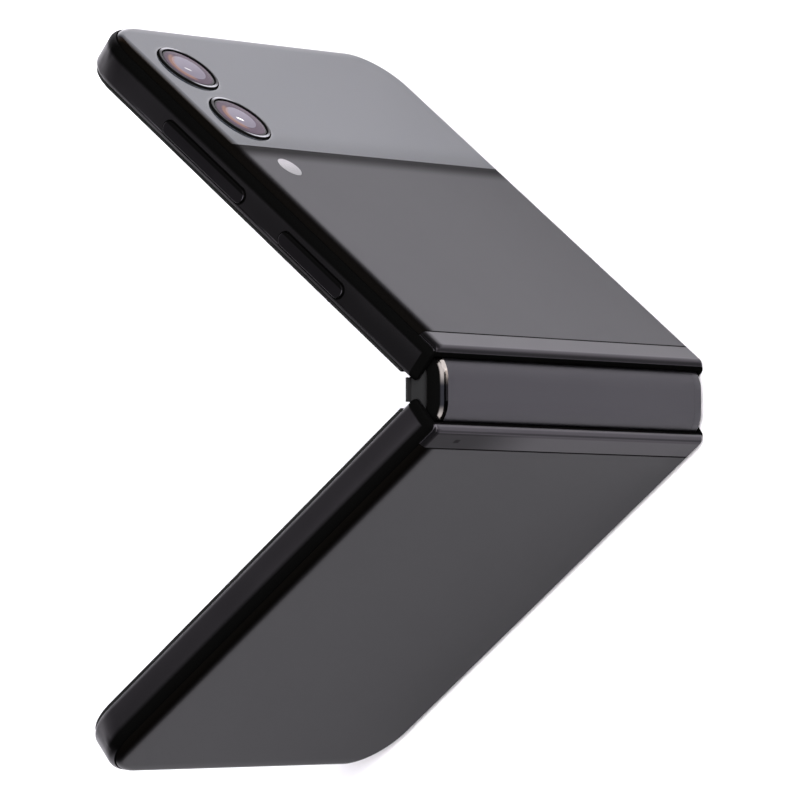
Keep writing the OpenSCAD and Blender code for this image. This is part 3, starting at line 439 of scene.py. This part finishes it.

# %% [markdown]
# ## The back glass
# Each back is one sheet of glass with black paint behind it. Most of it is etched to a soft sheen. The part
# at the cameras is left polished, and just below it a band of painted shade darkens the etched glass. Both finishes
# are dielectrics: painted glass has almost no colour of its own, and mirrors more at a glancing angle.
# Painted shade also darkens the glass along the side with the keys and at the seam by the hinge, painted
# highlights draw light lines along the window, round the lenses and at its free end, and the lower half's
# etched glass is a darker copy that mirrors less: painted shade.


# %% Back glass
def back_glass(name, side, window):
    """Dark glass, etched to a soft sheen, with a polished window at the camera end where there is one.
    Towards the side with the keys and the free end the sheet bends down a little before its rounded border.
    Painted shade darkens the side with the keys, the seam by the hinge and a band below the window, and painted
    highlights draw light lines along the window's edge, round the lenses and at its free end."""
    f = Finish(name)
    s, t, z = f.on_half(side)
    cloud = f.noise(45, 3)
    etch = f.noise(12000, 2, 0.7)
    shape = f.bump(f.over(z, WIDTH - 4.0) ** 2 * -0.15 + f.over(s, HALF - 3.0) ** 2 * -0.04, MM)
    # The etched glass of the lower half is darker and mirrors less than the upper half's: painted shade.
    tone, level = ((0.0067, 0.0062, 0.0082), 0.092) if window else ((0.0032, 0.0029, 0.0041), 0.056)
    etched = f.shader(Base_Color=f.mix(cloud, tone, [v * 1.15 for v in tone]), Specular_IOR_Level=level,
                      Roughness=0.34 + 0.04 * (cloud - 0.5), Normal=f.bump(etch, 0.000003, 0.3, shape))
    # Painted shade: a shader that mirrors nothing, mixed in along the side with the keys and at the seam.
    painted_shade_shader = f.dead((0.0014, 0.0012, 0.001))
    painted_key_side_shade = f.step(z, 67.2, 70.2) * 0.97
    # Painted shade at the glass's edge by the hinge, in the seam with the frame.
    painted_seam_shade = (1 - f.step(s, 4.26, 4.36)) * 0.9
    etched = f.between(f.most(painted_key_side_shade, painted_seam_shade), etched, painted_shade_shader)
    if not window:
        return f.done(etched)
    # Painted highlight: thin light lines along the window's edge and round each lens.
    painted_highlight_lines = f.line(s, 50.93, 0.04, 0.06) * (1 - f.step(z, 68.0, 69.5)) * 0.1
    for middle in (LENS_1, LENS_2):
        painted_highlight_lines = f.most(painted_highlight_lines, f.line(f.distance(s - middle, z - LENS_Z), 5.62, 0.08, 0.2) * 0.2)
    paint = f.mix(f.step(z, 68.2, 70.2), (0.003, 0.006, 0.011), (0.010, 0.006, 0.003))
    gloss = f.shader(Base_Color=f.mix(painted_highlight_lines, paint, (0.2, 0.2, 0.21)), Roughness=0.07, Specular_IOR_Level=0.295,
                     Normal=shape)
    # Painted highlight: a light line along the window's free end.
    painted_free_end_highlight = (1 - f.step(f.inset(s, z), 0.8, 1.7)) * f.step(s, 79.5, 81.2) * (1 - f.step(z, 62, 68)) * 0.2
    gloss = f.between(painted_free_end_highlight, gloss, f.dead((0.9, 0.9, 0.95), 0.8))
    # Painted shade: the window turns black towards the side with the keys and a little darker near its edge by the
    # etched glass.
    gloss = f.between(f.most(f.step(z, 69.0, 70.4), (1 - f.step(s, 50.8, 56.0)) * 0.16), gloss, painted_shade_shader)
    # Painted shade: a dark band on the etched glass just below the window.
    painted_shade_band = f.step(s, 47.0, 50.0) * (0.68 + 0.06 * f.step(z, 40, 66))
    etched = f.between(painted_shade_band, etched, painted_shade_shader)
    return f.done(f.between(f.step(s, 50.76, 50.82), etched, gloss))


glass_upper = back_glass("back_glass_upper", 1, True)
glass_lower = back_glass("back_glass_lower", -1, False)
print("glass finishes made")

# %% [markdown]
# ## Plain finishes
# The pieces inside need no more than a tone, a gloss and a trace of unevenness. One function with a few
# settings makes them all, from moulded plastic and copper to circuit board.


# %% Plain finishes for the other pieces
def plain(name, tone, rough, metallic=0.0, scale=200, level=0.5):
    """A finish with slight variation in tone and gloss and a fine surface grain."""
    f = Finish(name)
    cloud = f.noise(scale, 3)
    colour = f.mix(cloud, [v * 0.92 for v in tone], [v * 1.08 for v in tone])
    return f.done(f.shader(Base_Color=colour, Metallic=metallic, Roughness=rough + 0.08 * (cloud - 0.5),
                           Specular_IOR_Level=level, Normal=f.bump(f.noise(6000, 2), 0.000004, 0.3)))


black_plastic = plain("black_plastic", (0.012, 0.012, 0.013), 0.5, level=0.3)
lip_rubber = plain("lip_rubber", (0.004, 0.004, 0.004), 0.6, level=0.15)
screen_black = plain("screen_black", (0.006, 0.006, 0.008), 0.06, scale=60)
foil = plain("cell_foil", (0.18, 0.18, 0.19), 0.4, 0.9, scale=300)
copper = plain("copper_wire", (0.72, 0.36, 0.2), 0.3, 1.0)
laminate = plain("board_laminate", (0.01, 0.05, 0.03), 0.42)
steel = plain("hinge_steel", (0.5, 0.5, 0.52), 0.28, 1.0)
ring_black = plain("ring_black", (0.002, 0.002, 0.002), 0.35, level=0.0)
gold = plain("contact_gold", (0.8, 0.56, 0.24), 0.25, 1.0)
card_white = plain("card_white", (0.7, 0.7, 0.7), 0.5)
print("plain finishes made")

# %% [markdown]
# ## Keys and end caps
# The keys are anodised with the frame, with painted shade along their edge towards the back glass and more of it
# towards the hinge. The plastic caps at the spine's ends reach into its dark inside, and painted shade fades them to
# black there.


# %% Keys and caps
def cap_finish():
    """Dark plastic with painted shade that turns it black towards the inside of the spine."""
    f = Finish("cap_plastic")
    x, y, z = f.parts(f.here())
    grey = f.shader(Base_Color=f.mix(f.noise(200, 3), (0.0085, 0.0085, 0.009), (0.0105, 0.0105, 0.011)),
                    Roughness=0.5, Specular_IOR_Level=0.12)
    # Painted shade: the cap is mixed to a shader that mirrors nothing towards the inside of the spine.
    return f.done(f.between(f.step(-(y * 1000) - REST_Y, 2.1, 3.9), grey, f.dead()))


def key_finish():
    """Satin metal like the frame's, with painted shade along the edge towards the back glass and more of it towards
    the hinge.
    """
    f = Finish("satin_keys")
    s, t, z = f.on_half(1)
    cloud = f.noise(200, 3)
    metal = f.shader(Base_Color=f.mix(cloud, (0.022, 0.020, 0.024), (0.026, 0.024, 0.028)), Metallic=1.0,
                     Roughness=0.3 + 0.06 * (cloud - 0.5), Normal=f.bump(f.noise(6000, 2), 0.000004, 0.3))
    # Painted shade along the edge towards the back glass, and more of it towards the hinge.
    shade = f.most(f.step(t, 3.0, 3.3) * 0.95, 0.35 - 0.2 * f.step(s, 18, 68))
    return f.done(f.between(shade, metal, f.dead()))


cap_plastic, key_metal = cap_finish(), key_finish()
print("key and cap finishes made")

# %% [markdown]
# ## Lenses and flash
# A lens is a deep stack of coated glass, which would be slow to trace and would bake badly. Its look is
# painted instead on one dome: a purple annulus, a paler disc, a warm rim and a small white highlight.
# The rings are turned metal. Their colour is painted: silver at their two ends along the phone as a painted
# highlight, darker between, and black off the crest.


# %% Lens and flash finishes
def lens_finish(name, middle, inner, glint):
    """Coated lens glass with a painted look: a purple outer part, a paler round inner part lighter towards one end,
    a painted warm reflection at one side of its rim and a painted white highlight.
    """
    f = Finish(name)
    s, t, z = f.on_half(1)
    ds, dz = s - middle, z - LENS_Z
    radius = f.distance(ds, dz)
    colour = f.mix(f.noise(900, 2), (0.028, 0.016, 0.028), (0.035, 0.020, 0.034))
    pale = 1 - f.step(radius, inner - 0.08, inner + 0.05)
    # Painted light: the inner part is lighter towards one end.
    colour = f.mix(pale, colour, f.mix(f.step(ds, -2.5, 2.5), (0.078, 0.068, 0.092), (0.115, 0.104, 0.132)))
    # Painted reflection: a warm tint at one side of the inner part's rim.
    warm = f.step(dz, 0.4, 1.8) * f.line(radius, inner + 0.1, 0.25, 0.5)
    colour = f.mix(warm * 0.6, colour, (0.15, 0.07, 0.04))
    # Painted highlight: a small white spot, strong on the second lens and faint on the first.
    spot_s, spot_z = ds + 0.5, dz - 0.67
    spot = (f.line(spot_s * 0.57 + spot_z * 0.82, 0, 0.3, 0.5)
            * f.line(spot_z * 0.57 - spot_s * 0.82, 0, 0.06, 0.25))
    colour = f.mix(spot * glint, colour, (1.0, 0.98, 0.96))
    colour = f.mix(f.step(radius, 4.2, 4.32), colour, (0.004, 0.003, 0.004))
    return f.done(f.shader(Base_Color=colour, Roughness=0.08, Specular_IOR_Level=0.035))


def ring_finish(name, middle):
    """A turned bright edge, black off its crest and darker except at its two ends, which carry a painted highlight.
    """
    f = Finish(name)
    s, t, z = f.on_half(1)
    # Painted highlight: the metal turns silver at the ring's two ends along the phone.
    ends = f.step(abs(s - middle), 3.6, 5.0)
    crest = f.line(f.distance(s - middle, z - LENS_Z), 4.98, 0.14, 0.1)
    metal = f.shader(Base_Color=f.mix(ends, (0.05, 0.048, 0.052), (0.34, 0.34, 0.36)), Metallic=1.0,
                     Roughness=0.18 + 0.06 * (f.noise(300, 2) - 0.5))
    # Off its crest the ring is mixed to a shader that mirrors nothing.
    return f.done(f.between(1 - crest * (0.35 + 0.5 * ends), metal, f.dead((0.002, 0.002, 0.002), 0.4)))


def flash_finish():
    """Milky plastic over the lamp, with painted light that makes it lighter towards one side, and fine rings moulded
    in it.
    """
    f = Finish("flash_milk")
    s, t, z = f.on_half(1)
    ridge = f.maths("SINE", f.distance(s - FLASH_S, z - FLASH_Z) * 9.0)
    # Painted light: the cover is lighter towards one side.
    colour = f.mix(f.step(s, FLASH_S - 1.8, FLASH_S + 1.8), (0.095, 0.095, 0.10), (0.175, 0.168, 0.18))
    return f.done(f.shader(Base_Color=colour, Roughness=0.3, Specular_IOR_Level=0.2,
                           Normal=f.bump(ridge, 0.00001, 0.4)))


lens_one = lens_finish("lens_coating_1", LENS_1, 3.0, 0.25)
lens_two = lens_finish("lens_coating_2", LENS_2, 2.67, 0.9)
ring_one, ring_two = ring_finish("ring_metal", LENS_1), ring_finish("ring_metal_2", LENS_2)
flash_milk = flash_finish()
print("lens and flash finishes made")

# %% [markdown]
# ## Dressing the CAD pieces
# Each CAD piece comes with one slot, named after its material. A table from slot to finish dresses them all,
# and a short second table names the pieces that need a finish of their own.

# %% Every CAD piece gets its finish
finish_of = {
    "frame_metal": frame_upper, "housing_glass": glass_upper, "lip_plastic": lip_rubber,
    "display_glass": screen_black, "cell_foil": foil, "copper_wire": copper, "board_laminate": laminate,
    "hinge_steel": steel, "black_plastic": black_plastic, "ring_metal": ring_one, "lens_glass": lens_one,
    "flash_plastic": flash_milk, "spine_metal": spine_metal, "card_plastic": card_white}
own = {"lower_frame": frame_lower, "lower_back_glass": glass_lower, "volume_key": key_metal, "side_key": key_metal,
       "lens_glass_2": lens_two, "end_cap_1": cap_plastic, "end_cap_2": cap_plastic}
slot_of = {}
for name, node in nodes.items():
    slot_of[name] = node.material_slots[0].material.name
    node.material_slots[0].material = own.get(name, finish_of[slot_of[name]])
print("dressed", len(nodes), "pieces")

# %% [markdown]
# ## Making new pieces
# Some forms are softer or finer than the CAD has them. Each is made here as a mesh, point by point, in its
# place, and takes over from the CAD piece that it stands for. A smooth surface needs smooth shading, but
# wide flat faces next to narrow rounded ones would then look dented. Normals weighted by area avoid that.


# %% Helpers for meshes
def settle(obj, finish, body, instead=()):
    """Keeps what an object's modifiers make as its plain mesh, dresses it, sets it on its body and hides the CAD
    pieces it stands for.
    """
    bpy.context.view_layer.update()
    final = bpy.data.meshes.new_from_object(obj.evaluated_get(bpy.context.evaluated_depsgraph_get()))
    obj.modifiers.clear()
    obj.data = final
    final.name = obj.name
    final.materials.clear()
    final.materials.append(finish)
    if body:
        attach(obj, body)
    if instead:
        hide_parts(*instead)
    print(obj.name, len(final.polygons), "faces")
    return obj


def close(bm):
    """Fills the open ends of a tube and turns all faces outwards."""
    bmesh.ops.holes_fill(bm, edges=[e for e in bm.edges if e.is_boundary])
    bmesh.ops.recalc_face_normals(bm, faces=bm.faces)


def mesh_piece(name, bm, finish, body, instead=()):
    """Turns a bmesh into a finished object that rides on a body and stands for CAD pieces."""
    bmesh.ops.recalc_face_normals(bm, faces=bm.faces)
    mesh = bpy.data.meshes.new(name)
    bm.to_mesh(mesh)
    bm.free()
    mesh.shade_smooth()
    mesh.set_sharp_from_angle(angle=math.radians(28))
    obj = bpy.data.objects.new(name, mesh)
    bpy.context.scene.collection.objects.link(obj)
    obj.modifiers.new("weighted", "WEIGHTED_NORMAL").keep_sharp = True
    return settle(obj, finish, body, instead)


def join_loops(bm, loops, closed=False):
    """Faces between loops of points of equal length; a loop may be a single point."""
    made = [[bm.verts.new(p) for p in loop] for loop in loops]
    pairs = list(zip(made, made[1:])) + ([(made[-1], made[0])] if closed else [])
    for a, b in pairs:
        n = max(len(a), len(b))
        for i in range(n):
            j = (i + 1) % n
            corners = [a[i % len(a)], a[j % len(a)], b[j % len(b)], b[i % len(b)]]
            corners = [v for k, v in enumerate(corners) if v not in corners[:k]]
            bm.faces.new(corners)


def turned(bm, middle_s, middle_z, section, closed=False, steps=96):
    """Turns a section of (radius, depth) points round a line across the upper half."""
    loops = []
    for radius, depth in section:
        count = steps if radius > 0 else 1
        angles = [2 * math.pi * k / steps for k in range(count)]
        loops.append([place(1, middle_s + radius * math.cos(a), depth, middle_z + radius * math.sin(a))
                      for a in angles])
    join_loops(bm, loops, closed)


# %% [markdown]
# ## Rounded hinge ends
# The housings end at the hinge in a lip that is rounded by about one millimetre, which catches a bright
# line at its corners. On the real phone the cutter that mills the frame leaves this radius. Here the CAD
# mesh of each frame is sliced near its end, and every outer point is drawn inwards along a quarter circle.
# A bevel tool would need clean edge loops; slicing and drawing in works on any mesh.

# %% Rounded hinge ends
NOSE, ROUND, POCKET, SKIN = 0.12, 0.95, 5.27, 1.05
CORE_Z, CORE_FRONT, CORE_BACK = 1.5, 1.4, 5.2


def round_nose(name, side):
    """Copies a frame's mesh and rounds the outer edges of its hinge end."""
    bm = bmesh.new()
    bm.from_mesh(nodes[name].data)
    bmesh.ops.remove_doubles(bm, verts=bm.verts[:], dist=1e-6)
    bmesh.ops.dissolve_limit(bm, angle_limit=math.radians(0.3), verts=bm.verts[:], edges=bm.edges[:])
    along = (place(side, 1, 0, 0) - place(side, 0, 0, 0)).normalized()
    for k in range(7):
        cut = NOSE + ROUND * (1 - math.sin(math.pi / 2 * k / 7))
        bmesh.ops.bisect_plane(bm, geom=bm.verts[:] + bm.edges[:] + bm.faces[:], dist=1e-7,
                               plane_co=place(side, cut, 0, 0), plane_no=along)
    moved = 0
    for v in bm.verts:
        s, t, z = on_half(side, v.co)
        if s > NOSE + ROUND - 0.001:
            continue
        inset = min(z, WIDTH - z)
        rise = min(1.0, 1 - (s - NOSE) / ROUND)
        pull = ROUND * (1 - math.sqrt(max(0.0, 1 - rise * rise)))
        in_pocket = abs(math.hypot(s - AXIS, t) - POCKET) < 0.03 and inset > SKIN - 0.01
        on_wall = abs(inset - SKIN) < 0.01 and t < POCKET + 0.02
        if in_pocket or (on_wall and t > CORE_FRONT):
            continue
        if on_wall:
            t += pull * (CORE_FRONT - t)
        else:
            dz, dt = max(inset, CORE_Z) - inset, min(max(t, CORE_FRONT), CORE_BACK) - t
            far = math.hypot(dz, dt)
            inset, t = inset + 0.4 * pull * dz / far, t + pull * dt / far
            if t < POCKET:
                inset = min(inset, SKIN - 0.015)
        v.co = place(side, s, t, inset if z < WIDTH / 2 else WIDTH - inset)
        moved += 1
    end = [face for face in bm.faces if all(on_half(side, v.co)[0] < NOSE + ROUND + 0.01 for v in face.verts)]
    bmesh.ops.triangulate(bm, faces=[face for face in end if len(face.verts) > 4])
    body = "upper_half" if side > 0 else "lower_half"
    print(name, "points drawn in:", moved)
    mesh_piece(name + "_rounded", bm, frame_upper if side > 0 else frame_lower, body, [name])


round_nose("upper_frame", 1)
round_nose("lower_frame", -1)

# %% [markdown]
# ## Lens rings and lens glasses
# Each lens has a turned metal ring. Its outer wall is black, its top edge is a bright chamfer and a black
# step leads down to the glass. Turned parts are drawn as a section and spun round their line, as on a lathe.

# %% Lens rings and lens glasses
for number, middle, ring_metal, coating in ((1, LENS_1, ring_one, lens_one), (2, LENS_2, ring_two, lens_two)):
    wall = bmesh.new()
    turned(wall, middle, LENS_Z, [(5.2, 6.86), (5.44, 6.86), (5.42, 7.02), (5.34, 7.12), (5.2, 7.1)], True)
    mesh_piece(f"lens_wall_{number}", wall, ring_black, "upper_half")
    ring = bmesh.new()
    arc = [(4.98 + 0.36 * math.cos(a), 7.08 + 0.2 * math.sin(a)) for a in [math.pi * k / 10 for k in range(11)]]
    turned(ring, middle, LENS_Z, [(5.34, 6.88)] + arc + [(4.62, 6.88)], True)
    mesh_piece(f"lens_bezel_{number}", ring, ring_metal, "upper_half", [f"lens_ring_{number}"])
    dome = [(0, 7.2), (1, 7.198), (2, 7.19), (3, 7.175), (3.8, 7.15), (4.3, 7.12), (4.56, 7.08),
            (4.58, 6.62), (0, 6.6)]
    glass = bmesh.new()
    turned(glass, middle, LENS_Z, dome)
    mesh_piece(f"lens_cover_{number}", glass, coating, "upper_half", [f"lens_glass_{number}"])

# %% [markdown]
# ## Ends of the spine
# A small bar closes each end of the spine towards the display. It lies on the edges of both halves. One end
# of the spine also has a pressed cup over its round edge. Both are simple solids built from their outlines.

# %% Ends of the spine
BAR = ((-1.8, -0.3), (1.8, -0.3), (1.8, 0), (-1.8, 0))
for number, low, high in ((1, 0.1, 2.25), (2, 69.95, 72.1)):
    bar = bmesh.new()
    join_loops(bar, [[Vector((x, y - REST_Y, z)) * MM for x, y in BAR] for z in (low, high)])
    close(bar)
    bmesh.ops.bevel(bar, geom=bar.edges[:], offset=0.00008, segments=2, affect="EDGES", profile=0.5)
    mesh_piece(f"spine_bar_{number}", bar, cap_plastic, "hinge_spine")


def spine_loop(radius, z):
    """The outline of the spine at one place along it."""
    start = -math.asin(1.55 / radius)
    turn = [start + (-math.pi / 2 - start) * k / 24 for k in range(25)]
    right = [(AXIS + radius * math.cos(a), radius * math.sin(a)) for a in turn]
    return [Vector((x, y - REST_Y, z)) * MM for x, y in right + [(-x, y) for x, y in reversed(right)]]


cup = bmesh.new()
quarter = [math.pi / 2 * k / 8 for k in range(9)]
sections = [(4.9, 3.32), (5.056, 3.32)] + [(4.556 + 0.5 * math.cos(a), 1.67 - 0.5 * math.sin(a)) for a in quarter]
join_loops(cup, [spine_loop(radius, z) for radius, z in sections])
close(cup)
mesh_piece("spine_cup", cup, spine_metal, "hinge_spine")

# %% [markdown]
# ## Keys
# The keys are milled bars with half round ends. Their edges are broken by a fifth of a millimetre, which
# draws a thin light line round each of them. They are built in layers, each a little smaller than the last.


# %% Keys
def key(name, start, length, body):
    """A key with a softened outer edge and the rim that keeps it in the frame."""
    bm = bmesh.new()
    base, top, edge = WIDTH - 3.22, WIDTH + 0.3495, 0.22
    rim_end, rim_side = 0.8, 0.6
    layers = [(base, 0.0)] + [(top - edge + edge * math.sin(a), edge * (1 - math.cos(a)))
                              for a in [math.pi / 2 * k / 5 for k in range(6)]]
    loops = []
    for z, shrink in layers:
        radius = KEY_WIDTH / 2 - shrink
        loop = []
        for end, middle in ((1, start + length - KEY_WIDTH / 2), (-1, start + KEY_WIDTH / 2)):
            for k in range(25):
                a = -math.pi / 2 + math.pi * k / 24
                loop.append(place(1, middle + end * radius * math.cos(a), KEY_DEPTH + end * radius * math.sin(a), z))
        loops.append(loop)
    join_loops(bm, loops)
    low, high = start - rim_end, start + length + rim_end
    front, back = KEY_DEPTH - rim_side, KEY_DEPTH + rim_side
    rim = ((low, front), (high, front), (high, back), (low, back))
    join_loops(bm, [[place(1, s, t, z) for s, t in rim] for z in (base, base + 0.5)])
    close(bm)
    mesh_piece(name + "_milled", bm, key_metal, body, [name])


key("volume_key", *VOLUME_KEY, "volume_button")
key("side_key", *SIDE_KEY, "side_button")

# %% [markdown]
# ## Contact pads in the charging socket
# The tongue of the socket carries twelve gold pads on each face, half a millimetre apart. They are plated
# strips, all alike. One pad is drawn and a small node tree repeats it along a row, so a change of the count or
# the spacing is a change of one number. The row is then turned into a plain mesh.


# %% A tree that repeats a piece in a row
def row_tree():
    """Copies of one piece along a line. Its inputs are Piece, Count, Start, Step and Material."""
    tree = bpy.data.node_groups.new("repeat_in_row", "GeometryNodeTree")
    tree.interface.new_socket("Geometry", in_out="OUTPUT", socket_type="NodeSocketGeometry")
    for name, kind in (("Piece", "Object"), ("Count", "Int"), ("Start", "Vector"), ("Step", "Vector"),
                       ("Material", "Material")):
        tree.interface.new_socket(name, in_out="INPUT", socket_type="NodeSocket" + kind)
    source, line, piece, copies, real, dress, result = (tree.nodes.new(kind) for kind in (
        "NodeGroupInput", "GeometryNodeMeshLine", "GeometryNodeObjectInfo", "GeometryNodeInstanceOnPoints",
        "GeometryNodeRealizeInstances", "GeometryNodeSetMaterial", "NodeGroupOutput"))
    for giver, out, taker, socket in (
            (source, "Piece", piece, "Object"), (source, "Count", line, "Count"),
            (source, "Start", line, "Start Location"), (source, "Step", line, "Offset"),
            (line, "Mesh", copies, "Points"), (piece, "Geometry", copies, "Instance"),
            (copies, "Instances", real, "Geometry"), (real, "Geometry", dress, "Geometry"),
            (source, "Material", dress, "Material"), (dress, "Geometry", result, "Geometry")):
        tree.links.new(giver.outputs[out], taker.inputs[socket])
    return tree


def row(name, piece, count, start, step, finish, body):
    """Runs the tree once and keeps its result as a plain mesh that rides on a body."""
    obj = bpy.data.objects.new(name, bpy.data.meshes.new(name + "_empty"))
    bpy.context.scene.collection.objects.link(obj)
    repeat = obj.modifiers.new("repeat", "NODES")
    repeat.node_group = repeat_in_row
    keys = {item.name: item.identifier for item in repeat_in_row.interface.items_tree if item.in_out == "INPUT"}
    for key, value in (("Piece", piece), ("Count", count), ("Start", start), ("Step", step), ("Material", finish)):
        repeat[keys[key]] = value
    settle(obj, finish, body)


repeat_in_row = row_tree()

# %% Contact pads
PAD_LONG, PAD_WIDE, PAD_THICK = 1.6, 0.125, 0.02
PADS, PAD_STEP = 12, 0.5
pad = bmesh.new()
origin = place(-1, 0, 0, 0)
corners = ((-PAD_LONG, -PAD_WIDE), (PAD_LONG, -PAD_WIDE), (PAD_LONG, PAD_WIDE), (-PAD_LONG, PAD_WIDE))
join_loops(pad, [[place(-1, s, depth, z) - origin for s, z in corners] for depth in (-PAD_THICK, PAD_THICK)])
close(pad)
pad_mesh = bpy.data.meshes.new("pad")
pad.to_mesh(pad_mesh)
pad.free()
pad_object = bpy.data.objects.new("pad", pad_mesh)
for number, depth in ((1, 3.40), (2, 4.10)):
    row(f"contact_pads_{number}", pad_object, PADS, place(-1, 79.55, depth, WIDTH / 2 - 2.75),
        Vector((0, 0, PAD_STEP)) * MM, gold, "lower_half")
bpy.data.objects.remove(pad_object)
bpy.data.meshes.remove(pad_mesh)

# %% [markdown]
# ## The display across the fold
# The display is one flexible sheet. Between its two flat parts it bends with the fold, so these two strips
# are made of many narrow faces, curved as the sheet lies in this pose. They ride on no body, and rigid
# strips would tear away from the halves as the phone opens.

# %% Folding strips of the display
SHEET_MIDDLE, SHEET_HALF, SHEET_INSET = 0.725, 0.325, 2.3
bend_s = (AXIS * (1 - COS) + SHEET_MIDDLE * SIN) / (SIN / LEAN - COS)
bend_r = bend_s / LEAN
bend_y = (bend_s - AXIS) * SIN + (bend_r - SHEET_MIDDLE) * COS - REST_Y
outer, inner = bend_r + SHEET_HALF, bend_r - SHEET_HALF
low, high = SHEET_INSET, WIDTH - SHEET_INSET
for side, name, half in ((1, "fold_strip_upper", "upper_half"), (-1, "fold_strip_lower", "lower_half")):
    bm = bmesh.new()
    loops = []
    for k in range(25):
        a = LEAN * k / 24
        loops.append([Vector((side * r * math.sin(a), bend_y - r * math.cos(a), z)) * MM
                      for r, z in ((outer, low), (outer, high), (inner, high), (inner, low))])
    join_loops(bm, loops)
    close(bm)
    strip = mesh_piece(name + "_soft", bm, screen_black, None, [name])
    first = Vector((0, bend_y - bend_r, WIDTH / 2)) * MM
    last = Vector((side * bend_r * SIN, bend_y - bend_r * COS, WIDTH / 2)) * MM
    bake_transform(strip)
